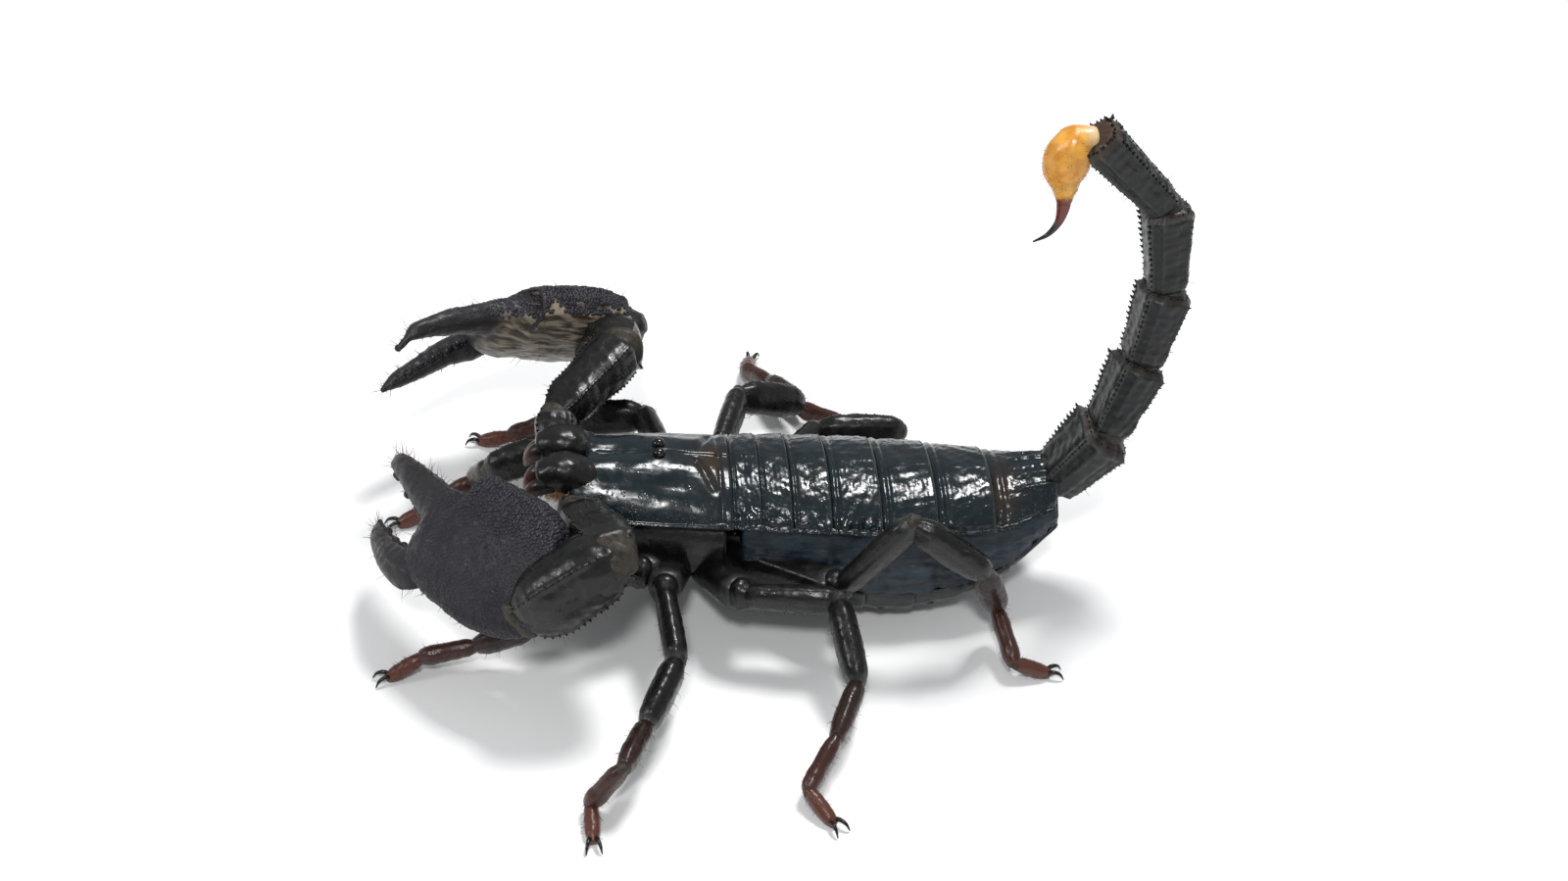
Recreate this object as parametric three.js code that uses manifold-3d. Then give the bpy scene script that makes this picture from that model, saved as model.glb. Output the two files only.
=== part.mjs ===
// A forest scorpion, about 120 mm long in life, standing on its eight feet with the tail
// raised over the back and both claws held open. One closed solid for each named part.
// Millimetres, +Z up. The head looks towards -X and the animal's left side towards -Y.
// The body is drawn from the rear edge of the carapace (x = 0) and the ground (z = 0), and the
// whole group is shifted at the end so that its origin is the middle of its footprint.
import * as THREE from "three";
import { mergeVertices } from "three/addons/utils/BufferGeometryUtils.js";
import Module from "manifold-3d";

const wasm = await Module();
wasm.setup();

// ---- Driving sizes ---------------------------------------------------------------------------

const GAP = 0.3; // clearance between neighbouring plates
const CARAPACE_LENGTH = 20;
const PLATE = 1.0; // thickness of a back plate
const TERGITES = [3.4, 3.7, 4.8, 6.2, 7.0, 7.3, 8.3]; // length of each back plate, front to rear
const FOOT_HEIGHT = 0.42; // middle of the tarsus tip above the ground
const TAIL_ROOT = [41.4, 0, 15.6];
const LEG_SIDES = 7;
const BODY_SIDES = 12;
const CLAW_SIDES = 10;

// Outlines of the trunk along x: half width, height of the crown, of the plates' side margin
// and of the belly.
const halfWidth = outline(
  [-20, 6.6], [-12, 8.1], [0, 8.9], [7, 9.3], [15, 9.4], [24, 9], [33, 7.8], [41, 4.7],
);
const crown = outline(
  [-20, 22.2], [-9, 21.7], [0, 20.3], [12, 19.2], [22, 18], [33, 16.8], [41, 17.2],
);
const margin = outline([-20, 17], [0, 15.9], [12, 14.9], [24, 13.9], [33, 13.1], [41, 13.9]);
const bellyLine = outline([1, 5.5], [9, 4.2], [15, 1.8], [22, 1.3], [29, 3], [36, 6.6], [41, 10.4]);
const bellyBulge = outline([1, -1.6], [8, 2], [16, 4.8], [28, 4.7], [36, 2.8], [41, 0.6]);

// Metasoma, the five tail segments: heading and pitch of each in degrees, its length, its half
// width and its half height.
const TAIL = [
  { heading: -8, pitch: 55, length: 8.4, half: [3.7, 3.6] },
  { heading: 29, pitch: 64, length: 9.8, half: [3.2, 3.1] },
  { heading: 30, pitch: 76, length: 10.1, half: [3.0, 3.0] },
  { heading: 155, pitch: 83, length: 11.2, half: [2.8, 2.9] },
  { heading: -167, pitch: 47, length: 15.1, half: [2.5, 2.5] },
];

// Legs. Each has its root on the body and a heading and pitch for the femur, patella, tibia and
// basitarsus; the tarsus has a heading alone, because its tip is always at the ground.
const LEG_LENGTHS = {
  1: [9.4, 8.4, 7, 6.8, 4.8],
  2: [10.2, 9.2, 7.6, 6.8, 4.9],
  3: [11.8, 10.6, 8.2, 7.2, 5],
  4: [13.4, 11.6, 8.6, 7.6, 5],
};
const LEGS = {
  left_1: { root: [-11.5, -11, 11.5], turns: [-165, 11, -165, -56, 179, -20, -178, -11, -165] },
  left_2: { root: [-8.9, -13.8, 11.2], turns: [-84, -15, -116, -14, -112, 6, -179, -55, -88] },
  left_3: { root: [0.2, -14.3, 10], turns: [-11, 3, -81, -26, -114, -8, -125, -21, -55] },
  left_4: { root: [12.4, -13.6, 9.8], turns: [-7, 53, -7, -38, 44, -66, -80, -23, 0] },
  right_1: { root: [-13, 10.9, 11.5], turns: [180, 15, -177, -21, 120, -45, -171, -32, -169] },
  right_2: { root: [-7.5, 12.1, 10.8], turns: [103, -4, 173, -5, 116, -35, 178, -24, 164] },
  right_3: { root: [-0.5, 14, 9.5], turns: [72, 5, 25, -25, 115, -13, 116, -16, 74] },
  right_4: { root: [6.6, 11.7, 7.9], turns: [58, -9, 1, -3, 149, -12, 137, -8, 121] },
};
// Half thickness and half height of the leg segments at full girth.
const LEG_GIRTH = {
  femur: [1.45, 2.1],
  patella: [1.6, 2.3],
  tibia: [1.3, 1.75],
  basitarsus: [1.05, 1.3],
  tarsus: [0.9, 1.0],
};

// Pedipalps, the clawed arms. lean tilts the fixed finger's edge of the claw
// inwards, and open turns the movable finger away from the fixed one.
const ARMS = {
  left: {
    side: -1, coxa: [-18.4, -5.2, 15.6], shoulder: [-19, -8.1, 18.7],
    femur: { heading: -71, pitch: 16, length: 13.6 }, patella: { heading: -178, pitch: -36, length: 13.6 },
    claw: { heading: 134, pitch: 2, lean: 45, open: 4 },
  },
  right: {
    side: 1, coxa: [-21.5, 6.6, 17.2], shoulder: [-21.1, 10.2, 19.7],
    femur: { heading: 50, pitch: 12, length: 13.4 }, patella: { heading: 105, pitch: -29, length: 14.9 },
    claw: { heading: -161, pitch: 19, lean: 37, open: 25 },
  },
};

// ---- Colours ---------------------------------------------------------------------------------

const SHELL = new THREE.MeshStandardMaterial({ color: 0x1b2428, roughness: 0.35, metalness: 0 });
const CLAW_SHELL = new THREE.MeshStandardMaterial({ color: 0x231f27, roughness: 0.55, metalness: 0 });
const MEMBRANE = new THREE.MeshStandardMaterial({ color: 0x2a3136, roughness: 0.6, metalness: 0 });
const AMBER = new THREE.MeshStandardMaterial({ color: 0xc8801e, roughness: 0.3, metalness: 0 });
const STING = new THREE.MeshStandardMaterial({ color: 0x3a0d08, roughness: 0.25, metalness: 0 });
const EYE = new THREE.MeshStandardMaterial({ color: 0x050505, roughness: 0.1, metalness: 0 });

// ---- Small helpers ---------------------------------------------------------------------------

const vec = (x, y, z) => new THREE.Vector3(x, y, z);
const lerp = THREE.MathUtils.lerp;
const rad = THREE.MathUtils.degToRad;

// A smooth function through a few [place, value] pairs, held constant past both ends.
function outline(...pairs) {
  return (x) => {
    const last = pairs.length - 1;
    if (x <= pairs[0][0]) return pairs[0][1];
    if (x >= pairs[last][0]) return pairs[last][1];
    const i = pairs.findIndex((pair) => pair[0] > x) - 1;
    const slope = (k) => {
      const a = pairs[Math.max(k - 1, 0)];
      const b = pairs[Math.min(k + 1, last)];
      return (b[1] - a[1]) / (b[0] - a[0]);
    };
    const span = pairs[i + 1][0] - pairs[i][0];
    const t = (x - pairs[i][0]) / span;
    const blend = 3 * t ** 2 - 2 * t ** 3;
    const lift = (t ** 3 - 2 * t ** 2 + t) * slope(i) + (t ** 3 - t ** 2) * slope(i + 1);
    return (1 - blend) * pairs[i][1] + blend * pairs[i + 1][1] + lift * span;
  };
}

// The unit vector of a heading in the ground plane and a pitch above it, in degrees.
function aim(heading, pitch) {
  const flat = Math.cos(rad(pitch));
  return vec(flat * Math.cos(rad(heading)), flat * Math.sin(rad(heading)), Math.sin(rad(pitch)));
}

// A closed solid from points and triangles, turned right side out if it was drawn mirrored.
function solid(points, faces) {
  const geometry = new THREE.BufferGeometry().setFromPoints(points).setIndex(faces);
  const merged = mergeVertices(geometry, 1e-4);
  const positions = merged.getAttribute("position").array;
  const corners = Array.from(merged.index.array);
  const triangles = [];
  for (let i = 0; i < corners.length; i += 3) {
    const [a, b, c] = corners.slice(i, i + 3);
    if (a !== b && b !== c && c !== a) triangles.push(a, b, c);
  }
  const build = (list) => new wasm.Manifold(
    new wasm.Mesh({ numProp: 3, vertProperties: positions, triVerts: new Uint32Array(list) }),
  );
  const made = build(triangles);
  return made.volume() > 0 ? made : build(triangles.reverse());
}

// A closed three.js geometry as a solid.
function fromGeometry(geometry) {
  geometry.deleteAttribute("normal");
  geometry.deleteAttribute("uv");
  const merged = mergeVertices(geometry, 1e-4);
  const corners = merged.getAttribute("position");
  const points = Array.from({ length: corners.count }, (_, i) => vec().fromBufferAttribute(corners, i));
  return solid(points, Array.from(merged.index.array));
}

// A solid through rings of equally many points, closed at both ends by a fan.
function loft(rings) {
  const count = rings[0].length;
  const points = rings.flat();
  const faces = [];
  for (let i = 0; i + 1 < rings.length; i++) {
    for (let j = 0; j < count; j++) {
      const a = i * count + j;
      const b = i * count + ((j + 1) % count);
      faces.push(a, b, b + count, a, b + count, a + count);
    }
  }
  for (const [ring, first, turn] of [[rings[0], 0, -1], [rings.at(-1), points.length - count, 1]]) {
    const hub = points.push(ring.reduce((sum, p) => sum.add(p), vec(0, 0, 0)).divideScalar(count)) - 1;
    for (let j = 0; j < count; j++) {
      const a = first + j;
      const b = first + ((j + 1) % count);
      faces.push(hub, turn > 0 ? a : b, turn > 0 ? b : a);
    }
  }
  return solid(points, faces);
}

// A limb-like solid. Stations hold a place, a half width across and a half height along "up";
// the rings stand square to the way the places run. power squares the section, and relief
// scales the radius at an angle from the side, in degrees.
const TUBE = { up: vec(0, 0, 1), sides: LEG_SIDES, power: 2.3, relief: () => 1, grow: 0 };
function tube(stations, options = {}) {
  const { up, sides, power, relief, grow } = { ...TUBE, ...options };
  const places = stations.map((s) => vec(...s.at));
  const rings = stations.map((s, i) => {
    const before = places[Math.max(i - 1, 0)];
    const after = places[Math.min(i + 1, places.length - 1)];
    const ahead = after.clone().sub(before).normalize();
    const across = up.clone().cross(ahead).normalize();
    const over = ahead.clone().cross(across);
    return Array.from({ length: sides }, (_, k) => {
      const angle = (2 * Math.PI * (k + 0.5)) / sides;
      const round = (value) => Math.sign(value) * Math.abs(value) ** (2 / power);
      const scale = relief((angle * 180) / Math.PI);
      return places[i].clone()
        .addScaledVector(across, (s.half[0] + grow) * scale * round(Math.cos(angle)))
        .addScaledVector(over, (s.half[1] + grow) * scale * round(Math.sin(angle)));
    });
  });
  return loft(rings);
}

// A limb segment between two joints: [fraction of the length, share of the full girth] pairs.
function segment(from, to, half, girth, options) {
  const stations = girth.map(([along, share]) => ({
    at: from.clone().lerp(to, along).toArray(),
    half: half.map((h) => h * share),
  }));
  return tube(stations, options);
}

// Keeps what lies ahead of the plane through a joint that halves the bend there, less a gap.
function cutAtJoint(body, joint, before, after, keepAhead) {
  const normal = before.clone().add(after).normalize();
  if (!keepAhead) normal.negate();
  return body.trimByPlane(normal.toArray(), normal.dot(joint) + GAP / 2);
}

const object = new THREE.Group();

// Adds a solid to the model as a named mesh.
function add(name, body, material) {
  const raw = body.getMesh();
  const geometry = new THREE.BufferGeometry();
  geometry.setAttribute("position", new THREE.BufferAttribute(new Float32Array(raw.vertProperties), 3));
  geometry.setIndex(new THREE.BufferAttribute(new Uint32Array(raw.triVerts), 1));
  geometry.computeVertexNormals();
  const mesh = new THREE.Mesh(geometry, material);
  mesh.name = name;
  object.add(mesh);
  return mesh;
}

// ---- Trunk -----------------------------------------------------------------------------------

// Height of the trunk's arch above its margins, from 0 to 1, at an angle from its crown.
const archHeight = (turn) => Math.max(Math.cos(turn), 0) ** 1.4;

// One arched plate. front and rear give x for a place across, from -1 to 1; lift raises the
// rear edge over the next plate.
function plate({ front, rear, along, across, lift = 0, dent = () => 0, grow = 0 }) {
  const layer = (depth) => {
    const rows = [];
    for (let i = 0; i <= along; i++) {
      for (let j = 0; j <= across; j++) {
        const s = (2 * j) / across - 1;
        const x = lerp(front(s) - grow, rear(s) + grow, i / along);
        const turn = (s * Math.PI) / 2;
        const rise = crown(x) - margin(x) - depth + lift * (i / along);
        const half = halfWidth(x) - depth + 0.4 * lift * (i / along);
        const z = margin(x) + rise * archHeight(turn) - dent(x, s) * Math.cos(turn);
        rows.push(vec(x, half * Math.sin(turn), z));
      }
    }
    return rows;
  };
  const outer = layer(-grow);
  const inner = layer(PLATE + grow);
  const wide = across + 1;
  const faces = [];
  const quad = (a, b, c, d) => faces.push(a, b, c, a, c, d);
  for (let i = 0; i < along; i++) {
    for (let j = 0; j < across; j++) {
      const a = i * wide + j;
      quad(a, a + wide, a + wide + 1, a + 1);
      const b = a + outer.length;
      quad(b, b + 1, b + wide + 1, b + wide);
    }
    for (const [j, out] of [[0, true], [across, false]]) {
      const a = i * wide + j;
      const rim = [a, a + outer.length, a + wide + outer.length, a + wide];
      quad(...(out ? rim : rim.reverse()));
    }
  }
  for (let j = 0; j < across; j++) {
    for (const [i, out] of [[0, false], [along, true]]) {
      const a = i * wide + j;
      const rim = [a, a + outer.length, a + 1 + outer.length, a + 1];
      quad(...(out ? rim : rim.reverse()));
    }
  }
  return solid([...outer, ...inner], faces);
}

// The front edge has a wide notch between two rounded lobes, and a furrow runs back from it.
const NOTCH = 2.8;
const CORNER = 2.6; // how far the outer corners are rounded back
const bell = (value, width) => Math.exp(-((value / width) ** 2));
const lobeEdge = (s) => -CARAPACE_LENGTH - 0.4 + NOTCH * bell(s, 0.34) + CORNER * Math.abs(s) ** 4;
const furrow = (x, s) => 0.55 * bell(s, 0.13) * bell(x + 13, 9);

const EYES = { at: [-8.8, 0.95, 21.85], radius: 0.8 };
function medianEye(side, grow) {
  const [x, y, z] = EYES.at;
  const bead = new THREE.SphereGeometry(EYES.radius + grow, 8, 5);
  bead.rotateX(Math.PI / 2);
  bead.scale(1, 0.9, 0.8);
  bead.translate(x, side * y, z);
  return fromGeometry(bead);
}

function carapace(grow) {
  return plate({
    front: lobeEdge, rear: () => -GAP, along: 8, across: 14, dent: furrow, grow,
  });
}

function tergite(start, length, isLast) {
  return plate({
    front: () => start, rear: () => start + length - GAP, along: isLast ? 4 : 2, across: 10, lift: 0.3,
  });
}

// Rings of the soft trunk: an arch under the plates, then full flanks and a flatter belly.
function trunkRing(x) {
  const half = halfWidth(x) - PLATE - GAP;
  const rise = crown(x) - margin(x) - PLATE - GAP;
  const drop = margin(x) - bellyLine(x);
  const ring = [];
  const arch = 8;
  for (let k = 0; k <= arch; k++) {
    const turn = (Math.PI * k) / arch - Math.PI / 2;
    ring.push(vec(x, half * Math.sin(turn), margin(x) + rise * archHeight(turn)));
  }
  const flank = 9;
  for (let k = 0; k <= flank; k++) {
    const turn = Math.PI * (0.08 + (0.84 * k) / flank);
    const full = halfWidth(x) + bellyBulge(x) * Math.sin(turn);
    const y = full * Math.sign(Math.cos(turn)) * Math.abs(Math.cos(turn)) ** 0.55;
    ring.push(vec(x, y, margin(x) - GAP - 0.4 - (drop - GAP - 0.4) * Math.sin(turn)));
  }
  return ring;
}

function belly(nearby) {
  const stops = [1, 4, 8, 13, 18, 23, 28, 33, 37, 40.7];
  return loft(stops.map(trunkRing)).subtract(nearby);
}

// A tapering rod with round ends, for the coxae.
function rod(from, to, thick, thin, grow, sides = 6) {
  const a = vec(...from);
  const b = vec(...to);
  const ends = [[-0.1, 0.7, thick], [0.15, 1, thick], [1, 1, thin]];
  return tube(
    ends.map(([along, share, size]) => ({
      at: a.clone().lerp(b, along).toArray(), half: [size * share + grow, size * share + grow],
    })),
    { sides },
  );
}

// The floor of the prosoma: a core under the carapace, the sternum and the bases of all limbs.
function coxosternum(grow) {
  const core = tube([
    { at: [-17.6, 0, 12.5], half: [4.6 + grow, 2.6 + grow] },
    { at: [-14, 0, 12.3], half: [6.8 + grow, 4.4 + grow] },
    { at: [-7, 0, 11.6], half: [8.2 + grow, 5.4 + grow] },
    { at: [-1.2 + grow, 0, 11.2], half: [8.6 + grow, 5 + grow] },
  ], { sides: 12, power: 2.8 });
  let whole = core;
  for (const leg of Object.values(LEGS)) {
    const [x, y, z] = leg.root;
    const inner = [lerp(-6, x, 0.35), Math.sign(y) * 3.2, lerp(6.8, z, 0.2)];
    const outer = vec(...inner).lerp(vec(x, y, z), 1 - GAP / 6);
    whole = whole.add(rod(inner, outer.toArray(), 2.6, 2.1, grow));
  }
  for (const arm of Object.values(ARMS)) {
    whole = whole.add(rod([-7, arm.side * 4, 9.5], arm.coxa, 3.4, 2.9, grow, 8));
  }
  return whole;
}

// Comb-shaped sense organs under the front of the belly.
function pecten(side) {
  const teeth = 4;
  const spread = 7;
  const comb = new THREE.Shape();
  comb.moveTo(0, 0.5);
  comb.lineTo(0, -0.9);
  for (let k = 0; k < teeth; k++) {
    const x = 1 + (k * spread) / teeth;
    comb.lineTo(x, -0.9);
    comb.lineTo(x + 0.1, -2.2);
    comb.lineTo(x + 0.8, -2.2);
    comb.lineTo(x + 0.9, -0.9);
  }
  comb.lineTo(spread + 1, 0.1);
  comb.lineTo(spread, 0.6);
  const plank = new THREE.ExtrudeGeometry(comb, { depth: 0.8, bevelEnabled: false });
  plank.translate(0, 0, -0.4);
  plank.rotateX(side > 0 ? 0 : Math.PI);
  plank.rotateZ(side * rad(62));
  plank.translate(3.6, side * 1.4, 3.6);
  return fromGeometry(plank);
}

// A chelicera: a stout block with a fixed and a movable jaw.
function chelicera(side, grow) {
  const y = side * 2.75;
  const station = (x, out, z, half) => ({ at: [x, out, z], half: half.map((h) => h + grow) });
  const block = tube([
    station(-15.6 + grow, side * 2.5, 19.2, [1.9, 1.6]),
    station(-17.8, side * 2.6, 20, [2.2, 2.1]),
    station(-20.8, y, 20.7, [2.4, 2.5]),
    station(-22.8, y, 20.2, [1.9, 2.1]),
  ], { sides: 8, power: 2.6 });
  const jaw = (drop, out, reach) => tube([
    station(-21.8, y + out, 20.9 - drop, [1.2, 1.2]),
    station(-23.8, y + out, 20.2 - drop, [1.1, 1.1]),
    station(-reach, y + 0.6 * out, 18.2 - 0.8 * drop, [0.45, 0.45]),
  ], { sides: 5 });
  return block.add(jaw(0, side * -0.7, 25.1)).add(jaw(0.9, side * 1, 24.8));
}

const EYE_GAP = 0.08;
const shieldRoom = carapace(GAP);
const pockets = coxosternum(GAP);
const jawRoom = { left: chelicera(-1, GAP), right: chelicera(1, GAP) };
add("carapace", carapace(0).subtract(medianEye(1, EYE_GAP)).subtract(medianEye(-1, EYE_GAP)), SHELL);
add("eye_median_left", medianEye(-1, 0), EYE);
add("eye_median_right", medianEye(1, 0), EYE);
add("chelicera_left", chelicera(-1, 0).subtract(shieldRoom), CLAW_SHELL);
add("chelicera_right", chelicera(1, 0).subtract(shieldRoom), CLAW_SHELL);
let prosomaFloor = coxosternum(0).subtract(shieldRoom);
prosomaFloor = prosomaFloor.subtract(jawRoom.left).subtract(jawRoom.right);
add("coxosternum", prosomaFloor, SHELL);
add("belly", belly(pockets), MEMBRANE);

let plateStart = 0;
TERGITES.forEach((length, i) => {
  add("tergite_" + (i + 1), tergite(plateStart, length, i === TERGITES.length - 1), SHELL);
  plateStart += length;
});

add("pecten_left", pecten(-1), MEMBRANE);
add("pecten_right", pecten(1), MEMBRANE);

// ---- Tail ------------------------------------------------------------------------------------

// Radius of a tail segment round its section, from the side: keels along the back's two edges
// and the lower edges, and a hollow along the back between them.
function keels(degrees) {
  const bump = (centre, width) => bell(degrees - centre, width);
  const upper = bump(45, 14) + bump(135, 14);
  const lower = bump(225, 14) + bump(315, 14);
  return 0.97 + 0.1 * upper + 0.04 * lower - 0.16 * bump(90, 24);
}

const tailJoints = [vec(...TAIL_ROOT)];
for (const part of TAIL) {
  tailJoints.push(tailJoints.at(-1).clone().addScaledVector(aim(part.heading, part.pitch), part.length));
}
const tailTip = tailJoints.at(-1);
const tailWays = TAIL.map((part) => aim(part.heading, part.pitch));
const TELSON_WAY = vec(-0.55, 0, -0.83);
const TAIL_GIRTH = [[-0.14, 0.74], [0.06, 0.86], [0.4, 0.97], [0.86, 1.06], [0.98, 0.98], [1.1, 0.72]];

TAIL.forEach((part, i) => {
  const from = tailJoints[i];
  const to = tailJoints[i + 1];
  const start = i === 0 ? [[-0.25, 0.95], ...TAIL_GIRTH.slice(1)] : TAIL_GIRTH;
  // The back of the raised tail is the side that turns in over the body.
  const back = tailWays[i].clone().cross(vec(0, 1, 0)).normalize();
  const look = { up: back, sides: BODY_SIDES, power: 2.6, relief: keels };
  let body = segment(from, to, part.half, start, look);
  body = i === 0
    ? body.trimByPlane([1, 0, 0], from.x - 0.35)
    : cutAtJoint(body, from, tailWays[i - 1], tailWays[i], true);
  body = cutAtJoint(body, to, tailWays[i], tailWays[i + 1] ?? TELSON_WAY, false);
  add("metasoma_" + (i + 1), body, SHELL);
});

// The telson: a round poison bulb and a hooked sting, drawn from the last joint of the tail.
const fromTip = (x, y, z) => tailTip.clone().add(vec(x, y, z)).toArray();
const BULB = [
  { at: fromTip(-0.2, 0, 0), half: [1.35, 1.3] },
  { at: fromTip(-1.7, 0, -0.3), half: [2.0, 2.0] },
  { at: fromTip(-2.9, 0, -1.9), half: [2.6, 2.65] },
  { at: fromTip(-3.3, 0, -3.9), half: [2.6, 2.65] },
  { at: fromTip(-3.1, 0, -6), half: [1.75, 1.75] },
  { at: fromTip(-2.95, 0, -8.2), half: [1.0, 1.0] },
];
const SPINE = [
  { at: fromTip(-2.95, 0, -7.4), half: [1.0, 1.0] },
  { at: fromTip(-2.95, 0, -9.4), half: [0.78, 0.78] },
  { at: fromTip(-3.3, 0, -11.2), half: [0.55, 0.52] },
  { at: fromTip(-4.4, 0, -12.8), half: [0.36, 0.34] },
  { at: fromTip(-6, 0, -13.7), half: [0.22, 0.22] },
];
const stingPlane = fromTip(0, 0, -7.9)[2];
add("telson_vesicle", cutAtJoint(
  tube(BULB, { up: vec(-1, 0, 0), sides: BODY_SIDES, power: 2 }).trimByPlane([0, 0, 1], stingPlane),
  tailTip, tailWays.at(-1), TELSON_WAY, true,
), AMBER);
const spine = tube(SPINE, { up: vec(-1, 0, 0), power: 2 });
add("aculeus", spine.trimByPlane([0, 0, -1], GAP - stingPlane), STING);

// ---- Legs ------------------------------------------------------------------------------------

const FEMUR_GIRTH = [[-0.1, 0.65], [0.2, 0.93], [0.8, 1], [1.12, 0.7]];
const PATELLA_GIRTH = [[-0.14, 0.65], [0.2, 0.98], [0.7, 0.98], [1.12, 0.62]];

function legJoints({ root, turns }, lengths) {
  const joints = [vec(...root)];
  lengths.forEach((length, i) => {
    const last = joints.at(-1);
    const drop = THREE.MathUtils.radToDeg(Math.asin((FOOT_HEIGHT - last.z) / length));
    const pitch = i === lengths.length - 1 ? drop : turns[2 * i + 1];
    joints.push(last.clone().addScaledVector(aim(turns[2 * i], pitch), length));
  });
  return joints;
}

// A foot's claw: reach beyond the toe, distance aside, rise and half thickness.
const FOOT_CLAW = [[-0.9, 0.4, 0.1, 0.45], [0.7, 0.6, 0.3, 0.38], [1.6, 0.95, -0.3, 0.25]];

// Tibia, basitarsus and tarsus as one bent solid, with a pair of claws and a flat sole.
function lowerLeg(joints, up) {
  const [knee, ankle, heel, toe] = joints.slice(2);
  const along = (a, b, share, half, size) => ({
    at: a.clone().lerp(b, share).toArray(), half: half.map((h) => h * size),
  });
  const { tibia, basitarsus, tarsus } = LEG_GIRTH;
  const shaft = tube([
    along(knee, ankle, -0.18, tibia, 0.62),
    along(knee, ankle, 0.12, tibia, 0.95),
    along(knee, ankle, 0.55, tibia, 1),
    along(knee, ankle, 0.9, tibia, 0.86),
    along(ankle, heel, 0.1, basitarsus, 0.9),
    along(ankle, heel, 0.8, basitarsus, 1),
    along(heel, toe, 0.05, tarsus, 0.85),
    along(heel, toe, 0.45, tarsus, 1),
    along(heel, toe, 1, tarsus, 0.72),
  ], { up, sides: 6 });
  const ahead = toe.clone().sub(heel).setZ(0).normalize();
  const aside = vec(-ahead.y, ahead.x, 0);
  const claw = (turn) => tube(FOOT_CLAW.map(([reach, out, rise, thick]) => ({
    at: toe.clone().addScaledVector(ahead, reach).addScaledVector(aside, turn * out)
      .add(vec(0, 0, rise)).toArray(),
    half: [thick, thick],
  })), { sides: 4, power: 2 });
  return shaft.add(claw(1)).add(claw(-1)).trimByPlane([0, 0, 1], 0);
}

for (const [name, leg] of Object.entries(LEGS)) {
  const joints = legJoints(leg, LEG_LENGTHS[name.at(-1)]);
  const ways = joints.slice(1).map((joint, i) => joint.clone().sub(joints[i]).normalize());
  // The tall side of each section stays upright, and leans outwards where a segment is steep.
  const up = vec(0, Math.sign(leg.root[1]) * 0.35, 1).normalize();
  let femur = segment(joints[0], joints[1], LEG_GIRTH.femur, FEMUR_GIRTH, { up });
  femur = femur.trimByPlane(ways[0].toArray(), ways[0].dot(joints[0]) + GAP / 2).subtract(pockets);
  add("femur_" + name, cutAtJoint(femur, joints[1], ways[0], ways[1], false), SHELL);
  let patella = segment(joints[1], joints[2], LEG_GIRTH.patella, PATELLA_GIRTH, { up });
  patella = cutAtJoint(patella, joints[1], ways[0], ways[1], true);
  add("patella_" + name, cutAtJoint(patella, joints[2], ways[1], ways[2], false), SHELL);
  add("lower_leg_" + name, cutAtJoint(lowerLeg(joints, up), joints[2], ways[1], ways[2], true), SHELL);
}

// ---- Pedipalps -------------------------------------------------------------------------------

const ARM_PATELLA_HALF = [3.9, 4.5];
const ARM_TROCHANTER = [[-0.3, 0.8], [0.2, 1], [0.8, 1.02], [1.2, 0.8]];
const ARM_FEMUR = [[-0.12, 0.7], [0.1, 0.92], [0.5, 0.98], [0.88, 1.06], [1.1, 0.72]];
const ARM_PATELLA = [[-0.12, 0.62], [0.1, 0.86], [0.42, 1], [0.76, 1], [0.94, 0.74], [1.04, 0.5]];

// The claw is drawn in its own axes: x along the palm, y out of its rough face, z towards the
// fixed finger's edge, from the joint with the arm. bend is how far the fingers curl inwards.
const PALM = [
  { at: [-4.0, 0, 6.8], half: [1.3, 1.8] },
  { at: [-2.6, 0, 5.6], half: [2.6, 4.5] },
  { at: [0.4, 0, 4.7], half: [3.4, 7.4] },
  { at: [5, 0.2, 3.9], half: [3.8, 8.7] },
  { at: [10, 0.2, 3.7], half: [3.7, 8.5] },
  { at: [14.2, 0, 3.7], half: [3.2, 7.5] },
  { at: [17.1, -0.2, 5], half: [2.2, 3.3] },
  { at: [21.1, -1, 5.7], half: [1.8, 2.3] },
  { at: [25, -2, 6.2], half: [1.45, 1.8] },
  { at: [28.3, -3.3, 6.4], half: [1.05, 1.25] },
  { at: [30.6, -5.4, 6.0], half: [0.35, 0.4] },
];
const MOVABLE = [
  { at: [14.9, 0, -2.2], half: [1.9, 1.9] },
  { at: [17, -0.4, -3.1], half: [2.1, 2.4] },
  { at: [20.2, -1.2, -3.2], half: [1.8, 2.1] },
  { at: [23.9, -3.2, -2.6], half: [1.45, 1.65] },
  { at: [26.9, -4.9, -1.8], half: [1.05, 1.15] },
  { at: [28.8, -6.4, -1.0], half: [0.35, 0.4] },
];

// Stations turned by an angle away from the fixed finger, about the first one.
function opening(stations, angle) {
  const [x0, , z0] = stations[0].at;
  const [c, s] = [Math.cos(rad(angle)), Math.sin(rad(angle))];
  return stations.map(({ at: [x, y, z], half }) => ({
    at: [x0 + (x - x0) * c + (z - z0) * s, y, z0 - (x - x0) * s + (z - z0) * c], half,
  }));
}

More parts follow.
